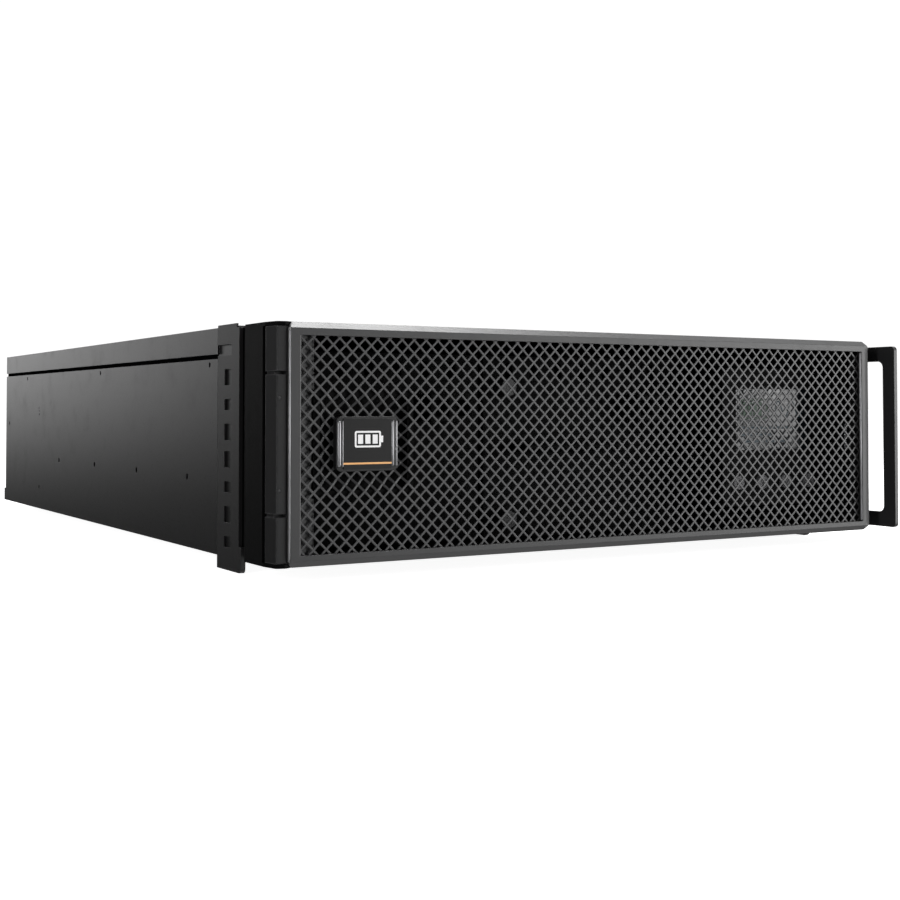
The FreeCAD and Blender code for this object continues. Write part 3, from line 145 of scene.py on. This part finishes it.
# Node helpers
class Graph:
    """Short calls for the nodes of a shader tree. place is the coordinate that textures use."""

    def __init__(self, tree, place="Object"):
        self.tree = tree
        self.place = tree.nodes.new("ShaderNodeTexCoord").outputs[place]

    def add(self, kind, **settings):
        node = self.tree.nodes.new(kind)
        for key, value in settings.items():
            setattr(node, key, value)
        return node

    def link(self, source, target):
        self.tree.links.new(source, target)

    def feed(self, node, name, value):
        """Sets an input by name, from a number, a colour or another node's output."""
        socket = node.inputs[name]
        if isinstance(value, bpy.types.NodeSocket):
            self.link(value, socket)
        else:
            socket.default_value = value

    def noise(self, scale, detail=2.0, roughness=0.5, stretch=None):
        node = self.add("ShaderNodeTexNoise")
        node.inputs["Scale"].default_value = scale
        node.inputs["Detail"].default_value = detail
        node.inputs["Roughness"].default_value = roughness
        self.link(self.stretched(stretch), node.inputs["Vector"])
        return node.outputs["Fac"]

    def stretched(self, stretch):
        if stretch is None:
            return self.place
        node = self.add("ShaderNodeVectorMath", operation="MULTIPLY")
        node.inputs[1].default_value = stretch
        self.link(self.place, node.inputs[0])
        return node.outputs[0]

    def cells(self, scale, feature="F1", output="Distance", stretch=None):
        node = self.add("ShaderNodeTexVoronoi", feature=feature)
        node.inputs["Scale"].default_value = scale
        self.link(self.stretched(stretch), node.inputs["Vector"])
        return node.outputs[output]

    def remap(self, value, low, high, to_low=0.0, to_high=1.0):
        node = self.add("ShaderNodeMapRange")
        self.link(value, node.inputs["Value"])
        for name, number in zip(("From Min", "From Max", "To Min", "To Max"), (low, high, to_low, to_high)):
            node.inputs[name].default_value = number
        return node.outputs["Result"]

    def math(self, operation, a, b=0.0):
        node = self.add("ShaderNodeMath", operation=operation)
        for index, value in enumerate((a, b)):
            if isinstance(value, bpy.types.NodeSocket):
                self.link(value, node.inputs[index])
            else:
                node.inputs[index].default_value = value
        return node.outputs[0]

    def mix(self, factor, a, b):
        node = self.add("ShaderNodeMix", data_type="RGBA")
        for name, value in (("Factor", factor), ("A", a), ("B", b)):
            sockets = [s for s in node.inputs if s.name == name and s.enabled]
            socket = sockets[0]
            if isinstance(value, bpy.types.NodeSocket):
                self.link(value, socket)
            else:
                socket.default_value = value
        return [s for s in node.outputs if s.enabled][0]

    def soft_edges(self, radius):
        """Rounded-edge normal, and a factor that rises from 0 to 1 along the edges."""
        bevel = self.add("ShaderNodeBevel", samples=4)
        bevel.inputs["Radius"].default_value = radius
        flat = self.add("ShaderNodeNewGeometry").outputs["Normal"]
        dot = self.add("ShaderNodeVectorMath", operation="DOT_PRODUCT")
        self.link(bevel.outputs["Normal"], dot.inputs[0])
        self.link(flat, dot.inputs[1])
        return bevel.outputs["Normal"], self.remap(dot.outputs["Value"], 1.0, 0.8)

    def bump(self, height, strength, distance, normal=None):
        node = self.add("ShaderNodeBump")
        node.inputs["Strength"].default_value = strength
        node.inputs["Distance"].default_value = distance
        self.link(height, node.inputs["Height"])
        if normal is not None:
            self.link(normal, node.inputs["Normal"])
        return node.outputs["Normal"]


class Shader(Graph):
    """A new material. Its textures use metres in the row frame."""

    def __init__(self, name):
        self.material = bpy.data.materials.new(name)
        self.material.use_nodes = True
        super().__init__(self.material.node_tree)
        self.bsdf = self.tree.nodes["Principled BSDF"]

    def set(self, name, value):
        self.feed(self.bsdf, name, value)


def grey(value, tint=(1.0, 1.0, 1.0)):
    return (value * tint[0], value * tint[1], value * tint[2], 1.0)


def coating(name, base, rough, grain=1400.0, depth=0.06, edge_wear_and_highlight=0.25, edge=0.35, tint=(1.0, 1.0, 1.04),
            specular=0.5, coat=0.0):
    """Painted metal or moulded plastic: fine grain, slow colour drift, and paler edges that are partly wear
    and partly a painted highlight.
    """
    s = Shader(name)
    normal, edges = s.soft_edges(edge * MM)
    drift = s.remap(s.noise(9.0, 3.0), 0.3, 0.7)
    scuffs = s.remap(s.noise(60.0, 5.0, 0.7), 0.52, 0.75)
    body = s.mix(drift, grey(base * 0.9, tint), grey(base * 1.12, tint))
    # Paler edges: partly wear, partly a painted highlight along every edge
    worn_and_highlit = s.math("MULTIPLY", edges, s.remap(s.noise(240.0, 4.0), 0.3, 0.7, 0.35, 1.0))
    colour = s.mix(s.math("MULTIPLY", worn_and_highlit, edge_wear_and_highlight), body, grey(min(1.0, base * 4 + 0.05), tint))
    speck = s.noise(grain, 2.0, 0.6)
    s.set("Base Color", colour)
    uneven = s.math("ADD", s.remap(scuffs, 0.0, 1.0, 0.0, 0.06), s.remap(speck, 0.3, 0.7, -0.03, 0.03))
    s.set("Roughness", s.math("ADD", uneven, rough))
    s.set("Specular IOR Level", specular)
    s.set("Coat Weight", coat)
    s.set("Normal", s.bump(speck, depth, 0.2 * MM, normal))
    return s.material


def bare_metal(name, colour, rough, brush=None, edge=0.3):
    """Plated or brushed metal: streaks along one direction, brighter edges that are partly polish and
    partly a painted highlight, and dull patches.
    """
    s = Shader(name)
    normal, edges = s.soft_edges(edge * MM)
    streaks = s.noise(900.0, 3.0, 0.6, brush)
    dull = s.remap(s.noise(45.0, 4.0), 0.35, 0.7)
    dark = tuple(c * 0.72 for c in colour) + (1.0,)
    bright = tuple(min(1.0, c * 1.12) for c in colour) + (1.0,)
    # Edges take the bright tone: partly polish, partly a painted highlight
    s.set("Base Color", s.mix(edges, s.mix(dull, bright, dark), bright))
    s.set("Metallic", 1.0)
    s.set("Roughness", s.math("ADD", s.remap(streaks, 0.3, 0.7, -0.06, 0.1), rough))
    s.set("Normal", s.bump(streaks, 0.12, 0.1 * MM, normal))
    return s.material


def galvanised(name):
    """Zinc sheet with its spangle: flat crystals that differ a little in tone and gloss."""
    s = Shader(name)
    normal, edges = s.soft_edges(0.3 * MM)
    crystal = s.cells(170.0, output="Color")
    tone = s.add("ShaderNodeSeparateColor")
    s.link(crystal, tone.inputs[0])
    s.set("Base Color", s.mix(tone.outputs[0], (0.30, 0.31, 0.32, 1), (0.47, 0.48, 0.5, 1)))
    s.set("Metallic", 0.9)
    s.set("Roughness", s.remap(tone.outputs[1], 0.0, 1.0, 0.34, 0.52))
    s.set("Normal", s.bump(s.noise(500.0, 3.0), 0.08, 0.1 * MM, normal))
    return s.material


def circuit_board(name):
    """Solder mask over a faint raster of copper tracks and pads."""
    s = Shader(name)
    tracks = s.cells(260.0, feature="DISTANCE_TO_EDGE", stretch=(1.0, 0.35, 1.0))
    pads = s.cells(420.0)
    track_mask = s.remap(tracks, 0.02, 0.05, 1.0, 0.0)
    pad_mask = s.remap(pads, 0.16, 0.2, 1.0, 0.0)
    mask = s.mix(track_mask, (0.012, 0.07, 0.03, 1), (0.03, 0.16, 0.06, 1))
    s.set("Base Color", s.mix(pad_mask, mask, (0.55, 0.5, 0.4, 1)))
    s.set("Roughness", s.remap(pad_mask, 0.0, 1.0, 0.35, 0.25))
    s.set("Normal", s.bump(track_mask, 0.2, 0.05 * MM))
    return s.material


def dark_glass(name):
    """Display glass: near black, glossy, with a faint smudge."""
    s = Shader(name)
    smudge = s.remap(s.noise(40.0, 4.0), 0.45, 0.7)
    s.set("Base Color", s.mix(smudge, (0.006, 0.010, 0.014, 1), (0.012, 0.018, 0.024, 1)))
    s.set("Roughness", s.remap(smudge, 0.0, 1.0, 0.06, 0.16))
    return s.material


def glowing(name, colour, strength):
    """Even colour with a slight flicker of grain, and its own light: for the screen's lit prints, and as a
    painted glow on badge marks that are not lit.
    """
    s = Shader(name)
    grain = s.remap(s.noise(1500.0), 0.3, 0.7, 0.85, 1.0)
    s.set("Base Color", colour)
    s.set("Emission Color", colour)
    s.set("Emission Strength", s.math("MULTIPLY", grain, strength))
    s.set("Roughness", 0.4)
    return s.material


MATERIALS = {
    "bezel_plastic": coating("bezel_plastic", 0.026, 0.34, grain=1700.0, depth=0.05, edge_wear_and_highlight=0.08),
    "mesh_black": coating("mesh_black", 0.048, 0.33, grain=2200.0, depth=0.05, edge_wear_and_highlight=0.2, edge=0.2),
    # badge_plastic: strong pale edges, mostly a painted highlight along the badge's ribs
    "badge_plastic": coating("badge_plastic", 0.010, 0.30, grain=2600.0, depth=0.03, edge_wear_and_highlight=0.6, edge=0.6,
                             specular=0.3),
    "badge_gloss": coating("badge_gloss", 0.007, 0.34, grain=3000.0, depth=0.01, edge_wear_and_highlight=0.05, specular=0.22),
    # accent_gold and mark_white glow with their own light: a painted glow on the badge's accent and mark,
    # which are not lit
    "accent_gold": glowing("accent_gold", (0.80, 0.42, 0.16, 1), 0.30),
    "mark_white": glowing("mark_white", (0.9, 0.9, 0.9, 1), 0.25),
    "zinc_steel": bare_metal("zinc_steel", (0.55, 0.56, 0.58), 0.3),
    "magnet_dark": coating("magnet_dark", 0.06, 0.5, grain=800.0, depth=0.2),
    "handle_paint": coating("handle_paint", 0.022, 0.34, grain=1500.0, depth=0.06, edge_wear_and_highlight=0.15),
    "screw_black": coating("screw_black", 0.02, 0.35, grain=1800.0, depth=0.05, edge_wear_and_highlight=0.6),
    "powder_coat": coating("powder_coat", 0.012, 0.30, grain=1300.0, depth=0.06, edge_wear_and_highlight=0.15, edge=0.3),
    "foot_rubber": coating("foot_rubber", 0.02, 0.8, grain=500.0, depth=0.3, edge_wear_and_highlight=0.1),
    "galvanised": galvanised("galvanised"),
    "battery_case": coating("battery_case", 0.04, 0.5, grain=700.0, depth=0.1, edge_wear_and_highlight=0.3),
    "copper": bare_metal("copper", (0.72, 0.4, 0.24), 0.32),
    "plug_grey": coating("plug_grey", 0.03, 0.45, grain=1100.0, depth=0.05),
    "screen_glass": dark_glass("screen_glass"),
    "fan_plastic": coating("fan_plastic", 0.02, 0.42, grain=900.0, depth=0.08),
    "socket_plastic": coating("socket_plastic", 0.024, 0.4, grain=1000.0, depth=0.06),
    "board_green": circuit_board("board_green"),
    "fin_aluminium": bare_metal("fin_aluminium", (0.7, 0.71, 0.72), 0.34, (1.0, 0.05, 1.0)),
    "capacitor_sleeve": coating("capacitor_sleeve", 0.05, 0.25, tint=(0.6, 0.8, 2.2)),
    "lead_red": coating("lead_red", 0.25, 0.45, tint=(1.8, 0.12, 0.1)),
    "key_grey": coating("key_grey", 0.22, 0.5, grain=1500.0, depth=0.06),
    "toggle_black": coating("toggle_black", 0.02, 0.3, grain=1500.0, depth=0.04, edge_wear_and_highlight=0.3),
}
HOUSING = coating("housing_plastic", 0.004, 0.5, grain=1200.0, depth=0.08, edge_wear_and_highlight=0.1, specular=0.03)
# column_plastic: strong pale edges, a painted highlight along the column's ridge and rear edge
COLUMN = coating("column_plastic", 0.014, 0.38, grain=1500.0, depth=0.05, edge_wear_and_highlight=1.0, edge=0.9, specular=0.36)
POST = coating("post_coat", 0.014, 0.40, grain=1300.0, depth=0.06, edge_wear_and_highlight=0.3, specular=0.36)
# Pale satin metal for the beads that stand in as painted highlights
HIGHLIGHT_SATIN = bare_metal("painted_highlight_satin", (0.34, 0.34, 0.35), 0.42, (1.0, 1.0, 0.05))
GASKET = coating("gasket_foam", 0.002, 0.9, grain=900.0, depth=0.2, edge_wear_and_highlight=0.0, specular=0.0)
# Near-black coat on the trays, panel and other parts behind the door mesh and the badge: painted shade for
# the dark bay behind the mesh
INSIDE_SHADE = coating("inside_painted_shade", 0.003, 0.6, grain=1000.0, depth=0.05, edge_wear_and_highlight=0.2, specular=0.08)
NODE_MATERIALS = {
    "front_housing": HOUSING,
    "hinge_rail": COLUMN,
    "grip_cover": COLUMN,
    "front_post_left": POST,
    "front_post_right": POST,
    "battery_trays": INSIDE_SHADE,
    "mid_bulkhead": INSIDE_SHADE,
    "bay_divider": INSIDE_SHADE,
    "badge_recess": INSIDE_SHADE,
    "seam_gasket": GASKET,
    "control_panel": INSIDE_SHADE,
    "tray_thumbscrews": MATERIALS["screw_black"],
    "tray_pulls": INSIDE_SHADE,
    "battery_plugs": INSIDE_SHADE,
}
SCREEN_BLUE = glowing("screen_blue", (0.03, 0.06, 0.08, 1), 0.12)
SCREEN_GREEN = glowing("screen_green", (0.03, 0.08, 0.04, 1), 0.12)
KEY_INK = coating("key_ink", 0.02, 0.5, grain=1500.0, depth=0.02)


def dress_cad_nodes():
    for part in frame["record"]["subparts"]:
        node = NODES[part["node"]]
        node.data.materials.clear()
        chosen = NODE_MATERIALS.get(part["node"], MATERIALS[part["material_slot"]])
        node.data.materials.append(chosen)


# Piece helpers
def piece_from(mesh, name, body, material):
    """Links a finished mesh as a piece that rides on a body."""
    data = bpy.data.meshes.new(name)
    mesh.normal_update()
    mesh.to_mesh(data)
    mesh.free()
    piece = bpy.data.objects.new(name, data)
    bpy.context.scene.collection.objects.link(piece)
    data.materials.append(material)
    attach(piece, body)
    return piece


def ease(t):
    t = min(1.0, max(0.0, t))
    return t * t * (3 - 2 * t)


# Door mesh
def dish_share(x, z, centre):
    """How far down the dish a point is: 0 outside it and 1 on its floor."""
    from_edge = [half - abs(at - mid) for at, mid, half in zip((x, z), centre, DISH_OUTER)]
    return ease(min(from_edge) / DISH_SLOPE)


def mesh_crossings(top_z, middle_x):
    """Crossing points by (column, row) in half pitches; both numbers are odd or both are even."""
    found = {}
    for row in range(MESH_ROWS):
        for column in range(MESH_COLUMNS[0], MESH_COLUMNS[1] + 1):
            if (row + column) % 2 == 0:
                x = middle_x + MESH_PHASE_X + column * MESH_PITCH_X / 2
                found[column, row] = (x, top_z - row * MESH_PITCH_Z / 2)
    return found


def mesh_strands(mesh, crossings, height_at):
    """Joins the crossings: a small diamond on each one and a strand to each lower neighbour."""
    reach = MESH_STRAND / math.sqrt(2)
    corners = {}
    for key, (x, z) in crossings.items():
        y = height_at(x, z)
        spots = {"e": (x + reach, z), "n": (x, z + reach), "w": (x - reach, z), "s": (x, z - reach)}
        corners[key] = {side: mesh.verts.new((px, y, pz)) for side, (px, pz) in spots.items()}
        mesh.faces.new([corners[key][side] for side in "enws"])
    for (column, row), here in corners.items():
        right = corners.get((column + 1, row + 1))
        left = corners.get((column - 1, row + 1))
        if right:
            mesh.faces.new((here["s"], right["w"], right["n"], here["e"]))
        if left:
            mesh.faces.new((here["w"], left["n"], left["e"], here["s"]))


def mesh_border(mesh, low, high):
    """The sheet's plain margin, one face on each side."""
    y = low.y + MESH_BORDER_LIFT
    t = MESH_BORDER
    outer = [(low.x, low.z), (high.x, low.z), (high.x, high.z), (low.x, high.z)]
    inner = [(low.x + t, low.z + t), (high.x - t, low.z + t), (high.x - t, high.z - t),
             (low.x + t, high.z - t)]
    rings = [[mesh.verts.new((x, y, z)) for x, z in ring] for ring in (outer, inner)]
    for i in range(4):
        j = (i + 1) % 4
        mesh.faces.new((rings[0][i], rings[1][i], rings[1][j], rings[0][j]))


def build_door_mesh():
    low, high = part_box("door_mesh")
    badge_low, badge_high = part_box("badge_face")
    badge = (badge_low + badge_high) / 2
    dish = (badge.x + DISH_SHIFT[0], badge.z + DISH_SHIFT[1])
    crossings = mesh_crossings(high.z - MESH_TOP_DROP, (low.x + high.x) / 2)
    outside = {
        key: (x, z) for key, (x, z) in crossings.items()
        if abs(x - badge.x) > DISH_HOLE[0] or abs(z - badge.z) > DISH_HOLE[1]
    }
    mesh = bmesh.new()
    mesh_strands(mesh, outside, lambda x, z: low.y + DISH_DEPTH * dish_share(x, z, dish))
    mesh_border(mesh, low, high)
    outward_faces(mesh)
    if sum(face.normal.y for face in mesh.faces) > 0:
        bmesh.ops.reverse_faces(mesh, faces=mesh.faces)
    piece = piece_from(mesh, "fine_door_mesh", "door", MATERIALS["mesh_black"])
    solid = piece.modifiers.new("sheet", "SOLIDIFY")
    solid.thickness = MESH_THICK
    solid.offset = -1.0
    soft = piece.modifiers.new("soft_edge", "BEVEL")
    soft.width = MESH_EDGE
    soft.segments = 2
    soft.angle_limit = math.radians(MESH_EDGE_ANGLE_DEG)
    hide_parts("door_mesh")


# Beads: pale satin lines that stand in as painted highlights
def outward_faces(mesh):
    bmesh.ops.recalc_face_normals(mesh, faces=mesh.faces)


def smooth_faces(mesh):
    outward_faces(mesh)
    for face in mesh.faces:
        face.smooth = True


def bead(mesh, centre, half, radius):
    """An upright rounded line with domed ends."""
    stations = []
    for turn in DOME_TURNS:
        wide = radius * math.sin(math.radians(turn))
        stations.append((wide, half - radius + radius * math.cos(math.radians(turn))))
    stations += [(wide, -high) for wide, high in reversed(stations)]
    rings = []
    for wide, high in stations:
        ring = []
        for i in range(BEAD_SIDES):
            turn = 2 * math.pi * i / BEAD_SIDES
            spot = (centre.x + wide * math.cos(turn), centre.y + wide * math.sin(turn), centre.z + high)
            ring.append(mesh.verts.new(spot))
        rings.append(ring)
    mesh.faces.new(rings[0])
    mesh.faces.new(rings[-1][::-1])
    for upper, lower in zip(rings, rings[1:]):
        for i in range(BEAD_SIDES):
            j = (i + 1) % BEAD_SIDES
            mesh.faces.new((upper[i], lower[i], lower[j], upper[j]))


def build_badge_highlight_beads():
    """Satin beads beside the badge's insert, along the block's side ribs, as painted highlights."""
    low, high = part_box("badge_body")
    middle = (low + high) / 2
    mesh = bmesh.new()
    for offset, radius in RIB_BEADS:
        bead(mesh, Vector((middle.x + offset, low.y + BEAD_SINK, middle.z)), BEAD_HALF_H, radius)
    smooth_faces(mesh)
    piece_from(mesh, "badge_highlight_beads", "badge", HIGHLIGHT_SATIN)


# Pale satin beads along the door's left front edge and the opening's right edge: painted highlights
def build_door_highlight_beads():
    low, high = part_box("door_frame")
    mesh = bmesh.new()
    bottom, top = (low.z + z for z in OPENING_Z)
    right = (low.x + high.x) / 2 + OPENING_HALF - OPENING_BEAD / 2
    spot = Vector((right, low.y + OPENING_BEAD, (bottom + top) / 2))
    bead(mesh, spot, (top - bottom) / 2 - OPENING_BEAD, OPENING_BEAD)
    spot = Vector((low.x + EDGE_BEAD, low.y + EDGE_BEAD, (low.z + high.z) / 2))
    bead(mesh, spot, (high.z - low.z) / 2 - EDGE_BEAD_END, EDGE_BEAD)
    smooth_faces(mesh)
    piece_from(mesh, "door_highlight_beads", "door", HIGHLIGHT_SATIN)


# Control panel prints
def flat_shape(mesh, points, y, thickness):
    """A thin upright plate: points are (x, z) and y is its front."""
    front = [mesh.verts.new((x, y, z)) for x, z in points]
    back = [mesh.verts.new((x, y + thickness, z)) for x, z in points]
    mesh.faces.new(front)
    mesh.faces.new(back[::-1])
    for i in range(len(points)):
        j = (i + 1) % len(points)
        mesh.faces.new((front[j], front[i], back[i], back[j]))


def bar_shape(mesh, x0, x1, z0, z1, y, thickness):
    flat_shape(mesh, [(x0, z0), (x1, z0), (x1, z1), (x0, z1)], y, thickness)


def stroke(mesh, points, width, y, thickness):
    """A drawn line through (x, z) points, as one plate for each run."""
    for (ax, az), (bx, bz) in zip(points, points[1:]):
        length = math.hypot(bx - ax, bz - az)
        nx, nz = -(bz - az) / length * width / 2, (bx - ax) / length * width / 2
        flat_shape(mesh, [(ax - nx, az - nz), (bx - nx, bz - nz), (bx + nx, bz + nz),
                          (ax + nx, az + nz)], y, thickness)


def build_screen_picture():
    """Generic status picture: a battery with level bars, a sine wave and rows of dashes."""
    low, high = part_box("display_screen")
    y = low.y - PRINT_THICK
    wide, tall = high.x - low.x, high.z - low.z
    level = bmesh.new()
    x0, x1 = (low.x + share * wide for share in BATTERY_X)
    z0, z1 = (low.z + share * tall for share in BATTERY_Z)
    ring = [(x0, z0), (x1, z0), (x1, z1), (x0, z1), (x0, z0)]
    stroke(level, ring, PRINT_LINE, y, PRINT_THICK)
    inset = BATTERY_KNOB_IN * tall
    bar_shape(level, x1 + PRINT_LINE, x1 + 3 * PRINT_LINE, z0 + inset, z1 - inset, y, PRINT_THICK)
    step = (x1 - x0) / BATTERY_CELLS
    inset = 2 * PRINT_LINE
    for i in range(BATTERY_FULL):
        left = x0 + step * (i + CELL_START)
        bar_shape(level, left, left + CELL_WIDE * step, z0 + inset, z1 - inset, y, PRINT_THICK)
    outward_faces(level)
    piece_from(level, "screen_battery", "chassis", SCREEN_GREEN)
    wave = bmesh.new()
    centre = low.z + WAVE_Z * tall
    points = []
    for i in range(WAVE_STEPS + 1):
        share = i / WAVE_STEPS
        x = low.x + (WAVE_X + WAVE_WIDE * share) * wide
        turn = 2 * math.pi * WAVE_TURNS * share
        points.append((x, centre + WAVE_HIGH * tall * math.sin(turn)))
    stroke(wave, points, PRINT_LINE, y, PRINT_THICK)
    half = DASH_HALF * tall
    for row, shares in enumerate(DASHES):
        z = low.z + (DASH_Z - DASH_STEP * row) * tall
        x = low.x + DASH_X * wide
        for share in shares:
            bar_shape(wave, x, x + share * wide, z - half, z + half, y, PRINT_THICK)
            x += (share + DASH_GAP) * wide
    outward_faces(wave)
    piece_from(wave, "screen_wave", "chassis", SCREEN_BLUE)


def build_key_legends():
    """A sign on each round key: up, down, tick and cross."""
    signs = {
        "button_up": [[(-0.45, -0.2), (0.0, 0.3), (0.45, -0.2)]],
        "button_down": [[(-0.45, 0.2), (0.0, -0.3), (0.45, 0.2)]],
        "button_enter": [[(-0.45, 0.0), (-0.1, -0.35), (0.45, 0.35)]],
        "button_escape": [[(-0.35, -0.35), (0.35, 0.35)], [(-0.35, 0.35), (0.35, -0.35)]],
    }
    for node, strokes in signs.items():
        low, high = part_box(node)
        centre = (low + high) / 2
        mesh = bmesh.new()
        for points in strokes:
            line = [(centre.x + a * KEY_SIGN, centre.z + b * KEY_SIGN) for a, b in points]
            stroke(mesh, line, KEY_LINE, low.y - PRINT_THICK / 2, PRINT_THICK)
        outward_faces(mesh)
        piece_from(mesh, "sign_" + node, node, KEY_INK)


# Stage
def pale_floor():
    """A wide pale floor with a faint mottle, under the object; reflections do not see it."""
    mesh = bmesh.new()
    bmesh.ops.create_grid(mesh, x_segments=4, y_segments=4, size=FLOOR_HALF)
    data = bpy.data.meshes.new("floor")
    mesh.to_mesh(data)
    mesh.free()
    floor = bpy.data.objects.new("floor", data)
    bpy.context.scene.collection.objects.link(floor)
    s = Shader("floor")
    s.set("Base Color", s.mix(s.noise(3.0), (0.86, 0.86, 0.86, 1), (0.9, 0.9, 0.9, 1)))
    s.set("Roughness", 0.8)
    s.set("Specular IOR Level", 0.0)
    s.set("Emission Color", (1.0, 1.0, 1.0, 1.0))
    s.set("Emission Strength", FLOOR_GLOW)
    data.materials.append(s.material)
    floor.visible_glossy = False
    floor.visible_diffuse = False


def softbox(name, place, aim, size, radiance):
    light = bpy.data.lights.new(name, "AREA")
    light.shape = "RECTANGLE"
    light.size, light.size_y = size
    light.energy = radiance * math.pi * size[0] * size[1]
    lamp = bpy.data.objects.new(name, light)
    lamp.location = place
    lamp.rotation_euler = (Vector(aim) - Vector(place)).to_track_quat("-Z", "Y").to_euler()
    lamp.visible_camera = False
    bpy.context.scene.collection.objects.link(lamp)
    return lamp


def studio_world():
    """White to the camera; to the object, a pale room that is dark below the horizon."""
    world = bpy.data.worlds.new("studio")
    world.use_nodes = True
    g = Graph(world.node_tree, "Generated")
    split = g.add("ShaderNodeSeparateXYZ")
    g.link(g.place, split.inputs[0])
    x, y, z = split.outputs
    above = g.remap(z, *HORIZON)
    back = g.math("MULTIPLY", g.remap(x, *ROOM_BACK), g.remap(y, *ROOM_BACK_DEPTH))
    back = g.math("MULTIPLY", back, g.remap(z, *ROOM_BACK_TOP))
    front = g.math("MULTIPLY", g.remap(x, *ROOM_FRONT), g.remap(y, *ROOM_FRONT_DEPTH))
    front = g.math("MULTIPLY", front, g.remap(z, *ROOM_FRONT_TOP))
    front = g.math("MULTIPLY", front, g.remap(z, *FRONT_HORIZON))
    back = g.math("MULTIPLY", g.math("ADD", back, ROOM_SIDE), above)
    lit = g.math("ADD", g.math("ADD", back, front), g.remap(z, *ROOM_UNDER))
    camera_ray = g.add("ShaderNodeLightPath").outputs["Is Camera Ray"]
    strength = g.math("ADD", g.math("MULTIPLY", lit, g.math("SUBTRACT", 1.0, camera_ray)),
                      g.math("MULTIPLY", camera_ray, BACKDROP))
    background = world.node_tree.nodes["Background"]
    background.inputs["Color"].default_value = (1.0, 1.0, 1.0, 1.0)
    g.feed(background, "Strength", strength)
    bpy.context.scene.world = world


def studio_light():
    for name, place, aim, size, radiance in SOFTBOXES:
        softbox(name, place, aim, size, radiance)


def reference_camera():
    data = bpy.data.cameras.new("camera")
    data.sensor_width = CAMERA_SENSOR_MM
    data.lens = CAMERA_LENS_MM
    data.shift_y = CAMERA_SHIFT_Y
    data.clip_end = 100.0
    camera = bpy.data.objects.new("camera", data)
    low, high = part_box("door_frame")
    door = Vector(((low.x + high.x) / 2, low.y, low.z))
    camera.location = door + Vector(CAMERA_FROM_DOOR)
    camera.rotation_euler = [math.radians(a) for a in CAMERA_TURN_DEG]
    bpy.context.scene.collection.objects.link(camera)
    bpy.context.scene.camera = camera


dress_cad_nodes()
build_door_mesh()
build_badge_highlight_beads()
build_door_highlight_beads()
build_screen_picture()
build_key_legends()
pale_floor()
studio_world()
studio_light()
reference_camera()
bpy.context.scene.view_settings.view_transform = "Standard"
